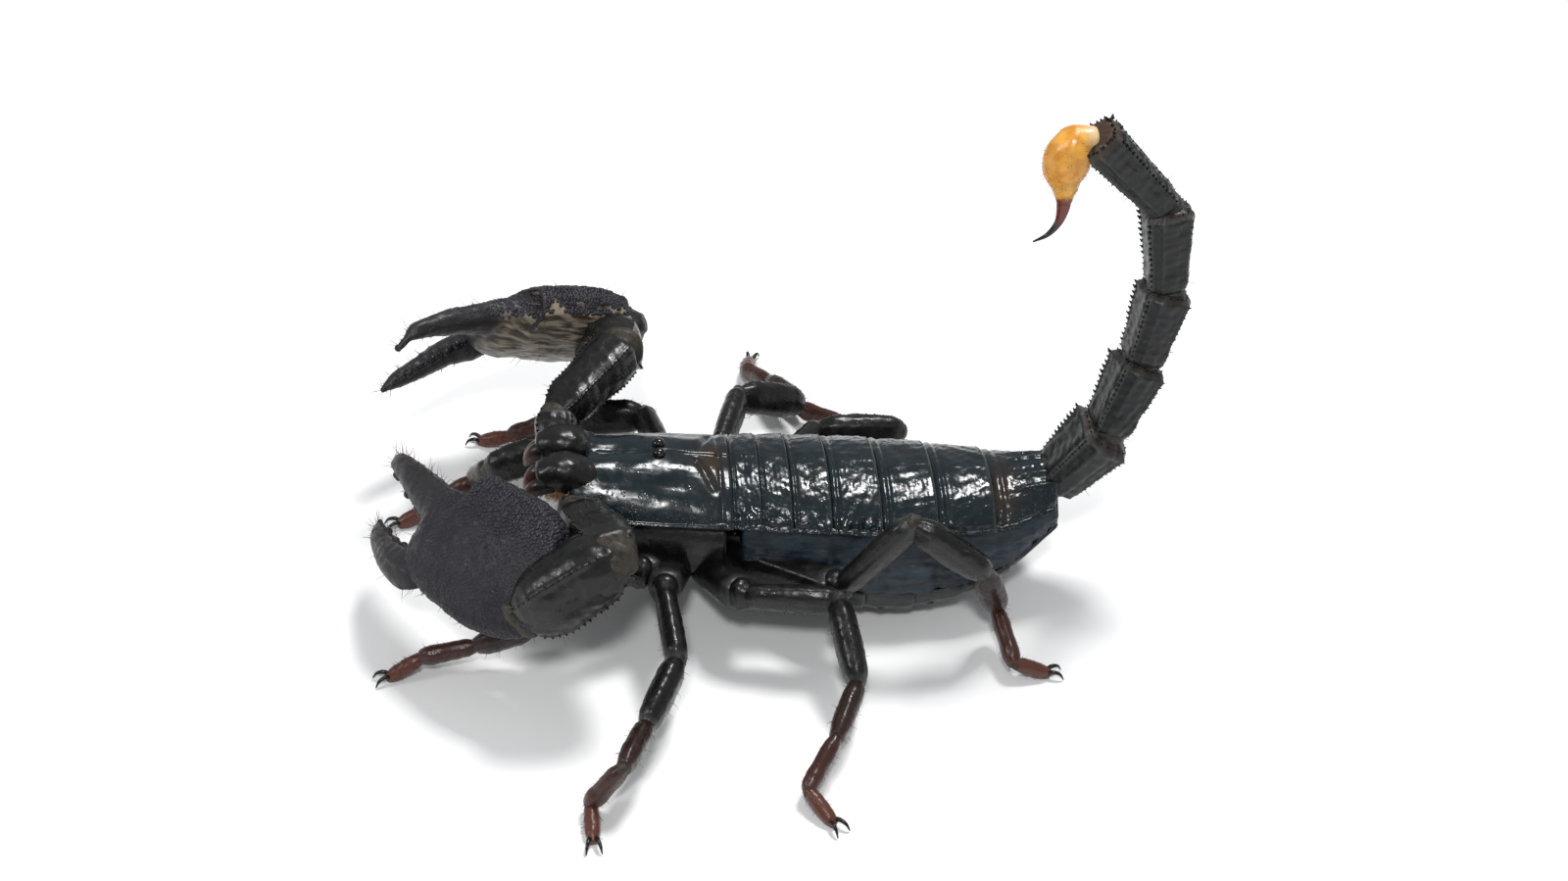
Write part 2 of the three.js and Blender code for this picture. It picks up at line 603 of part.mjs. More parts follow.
for (const [name, arm] of Object.entries(ARMS)) {
  const shoulder = vec(...arm.shoulder);
  const ways = [arm.femur, arm.patella, arm.claw].map((part) => aim(part.heading, part.pitch));
  const elbow = shoulder.clone().addScaledVector(ways[0], arm.femur.length);
  const wrist = elbow.clone().addScaledVector(ways[1], arm.patella.length);
  const root = vec(...arm.coxa);
  const hip = shoulder.clone().sub(root).normalize();

  let trochanter = segment(root, shoulder, [2.7, 2.5], ARM_TROCHANTER, { sides: 10 });
  trochanter = cutAtJoint(trochanter, shoulder, hip, ways[0], false);
  trochanter = trochanter.subtract(pockets).subtract(jawRoom[name]).subtract(shieldRoom);
  add("pedipalp_trochanter_" + name, trochanter, SHELL);

  let femur = segment(shoulder, elbow, [3.05, 2.8], ARM_FEMUR, { sides: 10, power: 2.8 });
  femur = cutAtJoint(femur, shoulder, hip, ways[0], true);
  add("pedipalp_femur_" + name, cutAtJoint(femur, elbow, ways[0], ways[1], false), SHELL);

  let patella = segment(elbow, wrist, ARM_PATELLA_HALF, ARM_PATELLA, { sides: 12, power: 2.5 });
  patella = cutAtJoint(patella, elbow, ways[0], ways[1], true);
  const socket = cutAtJoint(
    segment(elbow, wrist, ARM_PATELLA_HALF, ARM_PATELLA, { sides: 12, power: 2.5, grow: GAP }),
    elbow, ways[0], ways[1], true,
  );
  add("pedipalp_patella_" + name, patella, SHELL);

  // Axes of the claw: along, and the fixed finger's edge, which leans inwards from upright.
  const along = ways[2];
  const level = vec(0, 0, 1).cross(along).normalize();
  const upright = along.clone().cross(level);
  const edge = upright.multiplyScalar(Math.cos(rad(arm.claw.lean)))
    .addScaledVector(level, arm.side * Math.sin(rad(arm.claw.lean)));
  const face = edge.clone().cross(along).multiplyScalar(-arm.side);
  const place = ([x, y, z]) => wrist.clone().addScaledVector(along, x)
    .addScaledVector(face, y).addScaledVector(edge, z).toArray();
  const placed = (stations) => stations.map((s) => ({ at: place(s.at), half: s.half }));
  const opened = placed(opening(MOVABLE, arm.claw.open));
  const finger = tube(opened, { up: edge, sides: 10 });
  const fingerSocket = tube(opened, { up: edge, sides: 10, grow: GAP });
  const palm = tube(placed(PALM), { up: edge, sides: CLAW_SIDES });
  add("chela_" + name, palm.subtract(socket).subtract(fingerSocket), CLAW_SHELL);
  add("movable_finger_" + name, finger, CLAW_SHELL);
}

// ---- Origin ----------------------------------------------------------------------------------

const bounds = new THREE.Box3().setFromObject(object);
const middle = bounds.getCenter(vec(0, 0, 0));
for (const mesh of object.children) mesh.geometry.translate(-middle.x, -middle.y, -bounds.min.z);

export default object;
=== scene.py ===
import math

import bmesh
import bpy
import numpy as np
from mathutils import Matrix, Vector


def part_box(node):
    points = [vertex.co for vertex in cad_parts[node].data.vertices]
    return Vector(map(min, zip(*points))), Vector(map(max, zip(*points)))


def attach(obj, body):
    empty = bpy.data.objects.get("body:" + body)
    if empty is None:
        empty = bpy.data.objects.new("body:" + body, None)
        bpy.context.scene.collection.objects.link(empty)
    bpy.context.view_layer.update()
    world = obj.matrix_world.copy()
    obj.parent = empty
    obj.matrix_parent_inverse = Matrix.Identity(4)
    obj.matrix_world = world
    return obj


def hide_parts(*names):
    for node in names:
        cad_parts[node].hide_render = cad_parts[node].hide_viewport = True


bl_info = {
    "name": "Forest scorpion",
    "version": (1, 0, 0),
    "blender": (4, 5, 0),
    "location": "3D View > Sidebar > Scorpion",
    "description": "Builds a still, life-size forest scorpion around its solid frame",
    "category": "Add Mesh",
}

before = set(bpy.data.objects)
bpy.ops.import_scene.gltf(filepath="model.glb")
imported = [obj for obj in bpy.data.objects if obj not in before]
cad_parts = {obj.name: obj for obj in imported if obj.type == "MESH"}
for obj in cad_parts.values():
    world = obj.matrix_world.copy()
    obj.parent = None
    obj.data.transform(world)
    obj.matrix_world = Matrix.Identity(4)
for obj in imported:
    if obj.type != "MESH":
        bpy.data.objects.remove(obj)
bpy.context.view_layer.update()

# ---- Places and sizes: millimetres, drawn from the carapace's rear edge and the ground ----

MM = 0.001
UP = np.array([0, 0, 1.0])
EYE_DRAWN = np.array([-8.8, -0.95, 21.85])
_low, _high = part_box("eye_median_left")
SHIFT = (np.array(_low) + np.array(_high)) / 2 / MM - EYE_DRAWN
SIDES = {"left": -1, "right": 1}


def outline(*pairs):
    """A smooth function through a few (place, value) pairs, held constant past both ends."""
    xs = np.array([pair[0] for pair in pairs], float)
    ys = np.array([pair[1] for pair in pairs], float)
    last = len(xs) - 1
    slopes = np.array([
        (ys[min(k + 1, last)] - ys[max(k - 1, 0)]) / (xs[min(k + 1, last)] - xs[max(k - 1, 0)])
        for k in range(last + 1)
    ])

    def value(x):
        x = np.clip(np.asarray(x, float), xs[0], xs[-1])
        i = np.clip(np.searchsorted(xs, x, side="right") - 1, 0, last - 1)
        span = xs[i + 1] - xs[i]
        t = (x - xs[i]) / span
        blend = 3 * t ** 2 - 2 * t ** 3
        lift = (t ** 3 - 2 * t ** 2 + t) * slopes[i] + (t ** 3 - t ** 2) * slopes[i + 1]
        return (1 - blend) * ys[i] + blend * ys[i + 1] + lift * span

    return value


half_width = outline(
    (-20, 6.6), (-12, 8.1), (0, 8.9), (7, 9.3), (15, 9.4), (24, 9), (33, 7.8), (41, 4.7))
crown = outline(
    (-20, 22.2), (-9, 21.7), (0, 20.3), (12, 19.2), (22, 18), (33, 16.8), (41, 17.2))
margin = outline((-20, 17), (0, 15.9), (12, 14.9), (24, 13.9), (33, 13.1), (41, 13.9))
belly_line = outline((1, 5.5), (9, 4.2), (15, 1.8), (22, 1.3), (29, 3), (36, 6.6), (41, 10.4))
belly_bulge = outline((1, -1.6), (8, 2), (16, 4.8), (28, 4.7), (36, 2.8), (41, 0.6))

CARAPACE_LENGTH = 20
CARAPACE_THICK, TERGITE_THICK, STERNITE_THICK = 0.7, 0.6, 0.4
ARCH_POWER = 1.4         # of the back's cross-section: above 1 it falls away sooner
FLANK_SQUARENESS = 0.55  # of the belly's cross-section: below 1 its sides stand steeper
FLANK_TUCK = 0.7         # how far the flanks start under the back's margin
TERGITES = (3.4, 3.7, 4.8, 6.2, 7.0, 7.3, 8.3)
STERNITES = (9.5, 16, 22.2, 28.4, 34.6, 40.9)
FOOT_HEIGHT = 0.42
TAIL_ROOT = (41.4, 0, 15.6)
TAIL = (
    dict(heading=-8, pitch=55, length=8.4, half=(3.7, 3.6)),
    dict(heading=29, pitch=64, length=9.8, half=(3.2, 3.1)),
    dict(heading=30, pitch=76, length=10.1, half=(3.0, 3.0)),
    dict(heading=155, pitch=83, length=11.2, half=(2.8, 2.9)),
    dict(heading=-167, pitch=47, length=15.1, half=(2.5, 2.5)),
)
LEG_LENGTHS = {
    "1": (9.4, 8.4, 7, 6.8, 4.8),
    "2": (10.2, 9.2, 7.6, 6.8, 4.9),
    "3": (11.8, 10.6, 8.2, 7.2, 5),
    "4": (13.4, 11.6, 8.6, 7.6, 5),
}
# Root of each leg, then heading and pitch of femur, patella, tibia and basitarsus, and the
# heading of the tarsus.
LEGS = {
    "left_1": ((-11.5, -11, 11.5), (-165, 11, -165, -56, 179, -20, -178, -11, -165)),
    "left_2": ((-8.9, -13.8, 11.2), (-84, -15, -116, -14, -112, 6, -179, -55, -88)),
    "left_3": ((0.2, -14.3, 10), (-11, 3, -81, -26, -114, -8, -125, -21, -55)),
    "left_4": ((12.4, -13.6, 9.8), (-7, 53, -7, -38, 44, -66, -80, -23, 0)),
    "right_1": ((-13, 10.9, 11.5), (180, 15, -177, -21, 120, -45, -171, -32, -169)),
    "right_2": ((-7.5, 12.1, 10.8), (103, -4, 173, -5, 116, -35, 178, -24, 164)),
    "right_3": ((-0.5, 14, 9.5), (72, 5, 25, -25, 115, -13, 116, -16, 74)),
    "right_4": ((6.6, 11.7, 7.9), (58, -9, 1, -3, 149, -12, 137, -8, 121)),
}
LEG_GIRTH = dict(femur=(1.45, 2.1), patella=(1.6, 2.3), tibia=(1.3, 1.75),
                 basitarsus=(1.05, 1.3), tarsus=(0.9, 1.0))
ARMS = {
    "left": dict(coxa=(-18.4, -5.2, 15.6), shoulder=(-19, -8.1, 18.7), femur=(-71, 16, 13.6),
                 patella=(-178, -36, 13.6), claw=(134, 2), lean=45, opened=4),
    "right": dict(coxa=(-21.5, 6.6, 17.2), shoulder=(-21.1, 10.2, 19.7), femur=(50, 12, 13.4),
                  patella=(105, -29, 14.9), claw=(-161, 19), lean=37, opened=25),
}
ARM_PATELLA_HALF = (3.9, 4.5)

# The claw in its own axes: along the palm, out of its rough face, towards the fixed finger's
# edge; then half its width across and half its height.
PALM = (
    (-4.0, 0, 6.8, 1.3, 1.8), (-2.6, 0, 5.6, 2.6, 4.5), (0.4, 0, 4.7, 3.4, 7.4),
    (5, 0.2, 3.9, 3.8, 8.7), (10, 0.2, 3.7, 3.7, 8.5), (14.2, 0, 3.7, 3.2, 7.5),
    (17.1, -0.2, 5, 2.2, 3.3), (21.1, -1, 5.7, 1.8, 2.3), (25, -2, 6.2, 1.45, 1.8),
    (28.3, -3.3, 6.4, 1.05, 1.25), (30.6, -5.4, 6.0, 0.35, 0.4),
)
MOVABLE = (
    (14.9, 0, -2.2, 1.9, 1.9), (17, -0.4, -3.1, 2.1, 2.4), (20.2, -1.2, -3.2, 1.8, 2.1),
    (23.9, -3.2, -2.6, 1.45, 1.65), (26.9, -4.9, -1.8, 1.05, 1.15), (28.8, -6.4, -1.0, 0.35, 0.4),
)


# ---- Helpers: vectors, smooth curves, unevenness ----

def unit(v):
    """Vectors scaled to length one."""
    return v / np.maximum(np.linalg.norm(v, axis=-1, keepdims=True), 1e-9)


def aim(heading, pitch):
    """The unit vector of a heading in the ground plane and a pitch above it, in degrees."""
    h, p = math.radians(heading), math.radians(pitch)
    return np.array([math.cos(p) * math.cos(h), math.cos(p) * math.sin(h), math.sin(p)])


def bell(value, width):
    """A smooth bump of height one."""
    return np.exp(-((value / width) ** 2))


def step(value, low, high):
    """A smooth rise from 0 at low to 1 at high."""
    t = np.clip((value - low) / (high - low), 0, 1)
    return t * t * (3 - 2 * t)


def ripple(points, size, seed=0, stretch=(1, 1, 1), waves=7):
    """Smooth unevenness of about -1 to 1 over places in millimetres."""
    rng = np.random.default_rng(seed)
    total = 0
    for _ in range(waves):
        way = unit(rng.normal(size=3)) * rng.uniform(0.7, 1.4) / size / np.array(stretch)
        total = total + np.sin(2 * math.pi * (points @ way) + rng.uniform(0, 2 * math.pi))
    return total / waves ** 0.5 / 1.4


def smooth_rows(rows, count):
    """Rows of numbers resampled on a smooth curve; the first three of each are a place."""
    rows = np.array(rows, float)
    gaps = np.linalg.norm(np.diff(rows[:, :3], axis=0), axis=1)
    knots = np.concatenate([[0], np.cumsum(gaps)])
    slopes = np.gradient(rows, knots, axis=0)
    t = np.linspace(0, knots[-1], count)
    i = np.clip(np.searchsorted(knots, t, side="right") - 1, 0, len(gaps) - 1)
    span = gaps[i][:, None]
    u = ((t - knots[i]) / gaps[i])[:, None]
    blend = 3 * u ** 2 - 2 * u ** 3
    lift = (u ** 3 - 2 * u ** 2 + u) * slopes[i] + (u ** 3 - u ** 2) * slopes[i + 1]
    return (1 - blend) * rows[i] + blend * rows[i + 1] + lift * span, t / knots[-1]


class Surface:
    """A grid of points whose rows run along a part and whose columns go round or across it."""

    def __init__(self, grid, closed=True, share=None, angle=None):
        self.grid = grid
        self.closed = closed
        rows, columns = grid.shape[:2]
        self.share = np.linspace(0, 1, rows) if share is None else share
        self.angle = np.linspace(0, 360, columns, endpoint=not closed) if angle is None else angle
        down = np.gradient(grid, axis=0)
        if closed:
            over = np.roll(grid, -1, 1) - np.roll(grid, 1, 1)
        else:
            over = np.gradient(grid, axis=1)
        normal = unit(np.cross(down, over))
        out = grid - grid.mean(axis=1, keepdims=True)
        self.normal = normal * np.sign((normal * out).sum())

    def puffed(self, amount):
        """The same surface moved out along its normals."""
        moved = self.grid + self.normal * np.asarray(amount)[..., None]
        return Surface(moved, self.closed, self.share, self.angle)

    def at(self, along, turn):
        """Places and outward normals at shares, from 0 to 1, along and round the surface."""
        rows, columns = self.grid.shape[:2]
        u = np.clip(along, 0, 1) * (rows - 1)
        i = np.minimum(u.astype(int), rows - 2)
        if self.closed:
            v = (turn % 1) * columns
            j = v.astype(int) % columns
            k = (j + 1) % columns
        else:
            v = np.clip(turn, 0, 1) * (columns - 1)
            j = np.minimum(v.astype(int), columns - 2)
            k = j + 1
        fu = (u - i)[:, None]
        fv = (v - np.floor(v) if self.closed else v - j)[:, None]

        def mix(field):
            near = field[i, j] * (1 - fv) + field[i, k] * fv
            far = field[i + 1, j] * (1 - fv) + field[i + 1, k] * fv
            return near * (1 - fu) + far * fu

        return mix(self.grid), unit(mix(self.normal))

    def spot(self, along, turn):
        """One place and its outward normal."""
        place, way = self.at(np.array([along]), np.array([turn]))
        return place[0], way[0]

    def scatter(self, spacing, rng):
        """Shares of about evenly spread places, a spacing in millimetres apart."""
        length = np.linalg.norm(np.diff(self.grid.mean(axis=1), axis=0), axis=1).sum()
        lines = max(int(length / spacing), 2)
        along, turn = [], []
        for line in range(lines):
            u = (line + 0.5) / lines
            ring = self.grid[int(u * (len(self.grid) - 1))]
            edges = np.diff(np.vstack([ring, ring[:1]]) if self.closed else ring, axis=0)
            count = max(int(np.linalg.norm(edges, axis=1).sum() / spacing), 1)
            v = (np.arange(count) + 0.5 * (line % 2) + 0.25) / count
            along.append(u + rng.uniform(-0.35, 0.35, count) / lines)
            turn.append(v + rng.uniform(-0.35, 0.35, count) / count)
        return np.concatenate(along), np.concatenate(turn)


CAP_RINGS = np.radians([22, 44, 64, 80])  # of a tube's rounded ends
RIM_ROUND = 0.28  # how far a plate's rim stands out, against its thickness


def tube(stations, up, sides=40, rows=44, power=2.3, relief=None, caps=(0.6, 0.6)):
    """A limb-like surface through stations of a place, half width across and half height."""
    path, share = smooth_rows(stations, rows)
    centre = path[:, :3]
    ahead = unit(np.gradient(centre, axis=0))
    across = unit(np.cross(np.broadcast_to(up, ahead.shape), ahead))
    over = np.cross(ahead, across)
    angle = np.arange(sides) * 360 / sides
    c, s = np.cos(np.radians(angle)), np.sin(np.radians(angle))
    wide = np.sign(c) * np.abs(c) ** (2 / power)
    tall = np.sign(s) * np.abs(s) ** (2 / power)
    scale = np.ones((rows, sides)) if relief is None else relief(angle[None, :], share[:, None])
    scale = np.broadcast_to(scale, (rows, sides))
    half = np.maximum(path[:, 3:5], 0.02)
    spread = (across[:, None] * (half[:, :1] * wide)[..., None]
              + over[:, None] * (half[:, 1:] * tall)[..., None]) * scale[..., None]
    grid = centre[:, None] + spread
    for end, cap in ((0, caps[0]), (-1, caps[1])):
        way = ahead[end] * (1 if end else -1)
        depth = cap * half[end].mean()
        rings = [
            centre[end] + way * depth * math.sin(f) + spread[end] * math.cos(f)
            for f in CAP_RINGS
        ]
        if end:
            grid = np.concatenate([grid, np.array(rings)])
            share = np.concatenate([share, np.ones(len(rings))])
        else:
            grid = np.concatenate([np.array(rings[::-1]), grid])
            share = np.concatenate([np.zeros(len(rings)), share])
    return Surface(grid, True, share, angle)


def between(a, b, half, girth):
    """Tube stations between two joints, from (share of the length, share of the girth)."""
    a, b = np.array(a, float), np.array(b, float)
    return [[*(a + (b - a) * t), half[0] * g, half[1] * g] for t, g in girth]


def sleeve(joint, way, half, girth, up=UP, sides=44, rows=20):
    """Skin round a joint, from (place along it in millimetres, share of the girth)."""
    stations = [[*(joint + way * d), half[0] * g, half[1] * g] for d, g in girth]
    return tube(stations, up, sides, rows)


def ball(centre, radii, sides=28, rows=16):
    """A round or oval bead."""
    turn = np.linspace(0.06, math.pi - 0.06, rows)[:, None]
    spin = np.linspace(0, 2 * math.pi, sides, endpoint=False)[None, :]
    grid = np.stack([np.sin(turn) * np.cos(spin), np.sin(turn) * np.sin(spin),
                     np.cos(turn) * np.ones_like(spin)], axis=-1)
    return Surface(np.array(centre) + grid * np.array(radii))


class Shape:
    """Closed shells gathered into one piece, with numbers marked on their points."""

    def __init__(self):
        self.points = []
        self.faces = []
        self.marks = {}
        self.total = 0

    def add(self, points, faces, **marks):
        """Adds a closed shell; each mark is one number, or one for each point."""
        count = len(points)
        for key in set(self.marks) | set(marks):
            kept = self.marks.setdefault(key, np.zeros(self.total))
            new = np.broadcast_to(np.asarray(marks.get(key, 0), float), (count,))
            self.marks[key] = np.concatenate([kept, new])
        self.points.append(np.asarray(points, float))
        self.faces += [(corners + self.total).tolist() for corners in faces]
        self.total += count
        return self

    def tube(self, surface, **marks):
        """Adds a surface that closes round, with its two ends filled in."""
        rows, columns = surface.grid.shape[:2]
        points = surface.grid.reshape(-1, 3)
        hubs = np.array([surface.grid[0].mean(0), surface.grid[-1].mean(0)])
        i, j = np.meshgrid(np.arange(rows - 1), np.arange(columns), indexing="ij")
        a = (i * columns + j).ravel()
        b = (i * columns + (j + 1) % columns).ravel()
        quads = np.stack([a, b, b + columns, a + columns], axis=1)
        k = np.arange(columns)
        ring = (k + 1) % columns
        first = np.stack([np.full(columns, rows * columns), ring, k], axis=1)
        base = (rows - 1) * columns
        last = np.stack([np.full(columns, rows * columns + 1), base + k, base + ring], axis=1)
        spread = {}
        for key, value in marks.items():
            field = np.broadcast_to(np.asarray(value, float), (rows, columns))
            ends = [field[0].mean(), field[-1].mean()]
            spread[key] = np.concatenate([field.ravel(), ends])
        return self.add(np.vstack([points, hubs]), [quads, first, last], **spread)

    def plate(self, surface, thick, **marks):
        """Adds an open surface as a thin plate with a rounded rim."""
        rows, columns = surface.grid.shape[:2]
        outer = surface.grid
        thick = np.broadcast_to(np.asarray(thick, float), (rows, columns))[..., None]
        inner = outer - surface.normal * thick
        count = rows * columns
        i, j = np.meshgrid(np.arange(rows - 1), np.arange(columns - 1), indexing="ij")
        a = (i * columns + j).ravel()
        top = np.stack([a, a + columns, a + columns + 1, a + 1], axis=1)
        rim = np.concatenate([
            np.arange(columns - 1), np.arange(rows - 1) * columns + columns - 1,
            count - 1 - np.arange(columns - 1), (np.arange(rows - 1, 0, -1)) * columns])
        out = outer.reshape(-1, 3)[rim]
        low = inner.reshape(-1, 3)[rim]
        away = unit(out - np.roll(out, 1, 0) + 1e-9)
        push = unit(np.cross(away, out - low))
        push = push * np.sign((push * (out - outer.mean((0, 1)))).sum(1, keepdims=True))
        middle = (out + low) / 2 + push * RIM_ROUND * thick.reshape(-1, 1)[rim]
        n = len(rim)
        k = np.arange(n)
        after = (k + 1) % n
        mid = 2 * count + k
        mid_after = 2 * count + after
        sides = [np.stack([rim[k], rim[after], mid_after, mid], axis=1),
                 np.stack([mid, mid_after, rim[after] + count, rim[k] + count], axis=1)]
        spread = {}
        for key, value in marks.items():
            field = np.broadcast_to(np.asarray(value, float), (rows, columns)).ravel()
            spread[key] = np.concatenate([field, field, field[rim]])
        points = np.vstack([outer.reshape(-1, 3), inner.reshape(-1, 3), middle])
        return self.add(points, [top, top[:, ::-1] + count, *sides], **spread)


# ---- Making pieces ----

def settle(piece, nodes):
    """Gives a finished piece its place in the frame."""
    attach(piece, "root")
    if nodes:
        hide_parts(*nodes)


def add_object(name, data):
    """A new object in the scene."""
    item = bpy.data.objects.new(name, data)
    bpy.context.scene.collection.objects.link(item)
    return item


def make_piece(name, shape, finish, nodes=(), ground=False):
    """Turns a shape into an object at the origin, in metres, with its faces outward."""
    points = np.vstack(shape.points) + SHIFT
    if ground:
        points[:, 2] = np.maximum(points[:, 2], 0)
    mesh = bpy.data.meshes.new(name)
    faces = [corner for block in shape.faces for corner in block]
    mesh.from_pydata((points * MM).tolist(), [], faces)
    for key, values in shape.marks.items():
        mark = mesh.attributes.new(key, "FLOAT", "POINT")
        mark.data.foreach_set("value", values.astype(np.float32))
    work = bmesh.new()
    work.from_mesh(mesh)
    bmesh.ops.recalc_face_normals(work, faces=work.faces)
    for face in work.faces:
        face.smooth = True
    work.to_mesh(mesh)
    work.free()
    mesh.materials.append(finish)
    settle(add_object(name, mesh), nodes)


# A tooth's tip and height against the radius of its foot, and the spread of studs' sizes.
TOOTH_TIP, TOOTH_DEPTH = 0.22, 1.4
STUD_SIZES = (0.75, 1.2)
STUD_SEED = 1


def stud_tree(pointed):
    """A node tree that stands a horny bump on every point: a round bead or a pointed tooth."""
    name = "Horn teeth" if pointed else "Horn beads"
    if name in bpy.data.node_groups:
        return bpy.data.node_groups[name]
    tree = bpy.data.node_groups.new(name, "GeometryNodeTree")
    face = tree.interface
    face.new_socket("Geometry", in_out="INPUT", socket_type="NodeSocketGeometry")
    for label in ("Stud Width", "Stud Height"):
        face.new_socket(label, in_out="INPUT", socket_type="NodeSocketFloat")
    face.new_socket("Seed", in_out="INPUT", socket_type="NodeSocketInt")
    face.new_socket("Finish", in_out="INPUT", socket_type="NodeSocketMaterial")
    face.new_socket("Geometry", in_out="OUTPUT", socket_type="NodeSocketGeometry")
    new, link = tree.nodes.new, tree.links.new
    start, end = new("NodeGroupInput"), new("NodeGroupOutput")
    if pointed:
        stud = new("GeometryNodeMeshCone")
        stud.inputs["Vertices"].default_value = 7
        stud.inputs["Radius Top"].default_value = TOOTH_TIP
        stud.inputs["Radius Bottom"].default_value = 1.0
        stud.inputs["Depth"].default_value = TOOTH_DEPTH
    else:
        stud = new("GeometryNodeMeshIcoSphere")
        stud.inputs["Radius"].default_value = 1.0
        stud.inputs["Subdivisions"].default_value = 2
    form = new("ShaderNodeCombineXYZ")
    link(start.outputs["Stud Width"], form.inputs["X"])
    link(start.outputs["Stud Width"], form.inputs["Y"])
    link(start.outputs["Stud Height"], form.inputs["Z"])
    sized = new("GeometryNodeTransform")
    link(stud.outputs["Mesh"], sized.inputs["Geometry"])
    link(form.outputs["Vector"], sized.inputs["Scale"])
    way, size = new("GeometryNodeInputNamedAttribute"), new("GeometryNodeInputNamedAttribute")
    way.data_type, size.data_type = "FLOAT_VECTOR", "FLOAT"
    way.inputs["Name"].default_value = "way"
    size.inputs["Name"].default_value = "size"
    stand = new("FunctionNodeAlignRotationToVector")
    stand.axis = "Z"
    link(way.outputs["Attribute"], stand.inputs["Vector"])
    vary = new("FunctionNodeRandomValue")
    vary.data_type = "FLOAT"
    low, high = [s for s in vary.inputs if s.type == "VALUE" and s.enabled][:2]
    low.default_value, high.default_value = STUD_SIZES
    link(start.outputs["Seed"], vary.inputs["Seed"])
    product = new("ShaderNodeMath")
    product.operation = "MULTIPLY"
    link([s for s in size.outputs if s.enabled][0], product.inputs[0])
    link([s for s in vary.outputs if s.enabled][0], product.inputs[1])
    place = new("GeometryNodeInstanceOnPoints")
    link(start.outputs["Geometry"], place.inputs["Points"])
    link(sized.outputs["Geometry"], place.inputs["Instance"])
    link(stand.outputs["Rotation"], place.inputs["Rotation"])
    link(product.outputs[0], place.inputs["Scale"])
    real, paint = new("GeometryNodeRealizeInstances"), new("GeometryNodeSetMaterial")
    smooth = new("GeometryNodeSetShadeSmooth")
    link(place.outputs["Instances"], smooth.inputs["Geometry"])
    link(smooth.outputs["Geometry"], real.inputs["Geometry"])
    link(real.outputs["Geometry"], paint.inputs["Geometry"])
    link(start.outputs["Finish"], paint.inputs["Material"])
    link(paint.outputs["Geometry"], end.inputs["Geometry"])
    return tree


def make_studs(name, places, ways, sizes, finish, width, height, pointed):
    """Beads or teeth of horn at the places, standing along the ways."""
    mesh = bpy.data.meshes.new(name)
    mesh.from_pydata(((np.asarray(places) + SHIFT) * MM).tolist(), [], [])
    mesh.attributes.new("way", "FLOAT_VECTOR", "POINT").data.foreach_set(
        "vector", np.asarray(ways, np.float32).ravel())
    mesh.attributes.new("size", "FLOAT", "POINT").data.foreach_set(
        "value", sizes.astype(np.float32))
    piece = add_object(name, mesh)
    tree = stud_tree(pointed)
    grow = piece.modifiers.new("Studs", "NODES")
    grow.node_group = tree
    names = {item.name: item.identifier for item in tree.interface.items_tree
             if item.in_out == "INPUT"}
    grow[names["Stud Width"]] = width * MM
    grow[names["Stud Height"]] = height * MM
    grow[names["Seed"]] = STUD_SEED
    grow[names["Finish"]] = finish
    graph = bpy.context.evaluated_depsgraph_get()
    made = bpy.data.meshes.new_from_object(piece.evaluated_get(graph))
    piece.modifiers.remove(grow)
    piece.data = made
    bpy.data.meshes.remove(mesh)
    for label in ("way", "size"):
        if label in made.attributes:
            made.attributes.remove(made.attributes[label])
    settle(piece, ())


class Studs:
    """Beads or teeth gathered from several surfaces, then made as one piece."""

    def __init__(self):
        self.rows = []

    def add(self, surface, along, turn, size=1.0, sunk=0.0, lean=None, keep=None):
        """Stands studs at shares along and round a surface, sunk a little or leaning."""
        keep = np.full(len(along), True) if keep is None else keep
        place, way = surface.at(along[keep], np.broadcast_to(turn, along.shape)[keep])
        stand = way if lean is None else unit(way + lean)
        self.rows.append((place - sunk * way, stand, np.broadcast_to(size, along.shape)[keep]))

    def make(self, name, finish, slot, width, height, pointed=False):
        """Builds every stud; width and height in millimetres."""
        places, ways, sizes = [np.concatenate(parts) for parts in zip(*self.rows)]
        make_studs(name, places, ways, sizes, finish, width, height, pointed)


# Places along a hair, each with its share of the thickness; then how much hairs spread, bend
# and curl down, how deep they start, and how far above the floor their tips stay.
HAIR_RINGS = ((0, 1), (0.35, 0.8), (0.7, 0.5))
HAIR_SPREAD, HAIR_BEND, HAIR_CURL = 0.28, 0.12, 0.1
HAIR_ROOT, HAIR_CLEARANCE = 0.15, 0.3
# On the bake map: the side of one hair's patch, and how a surface fills its tile.
HAIR_PATCH = 0.003
TILE_USED, TILE_MARGIN = 0.96, 0.01


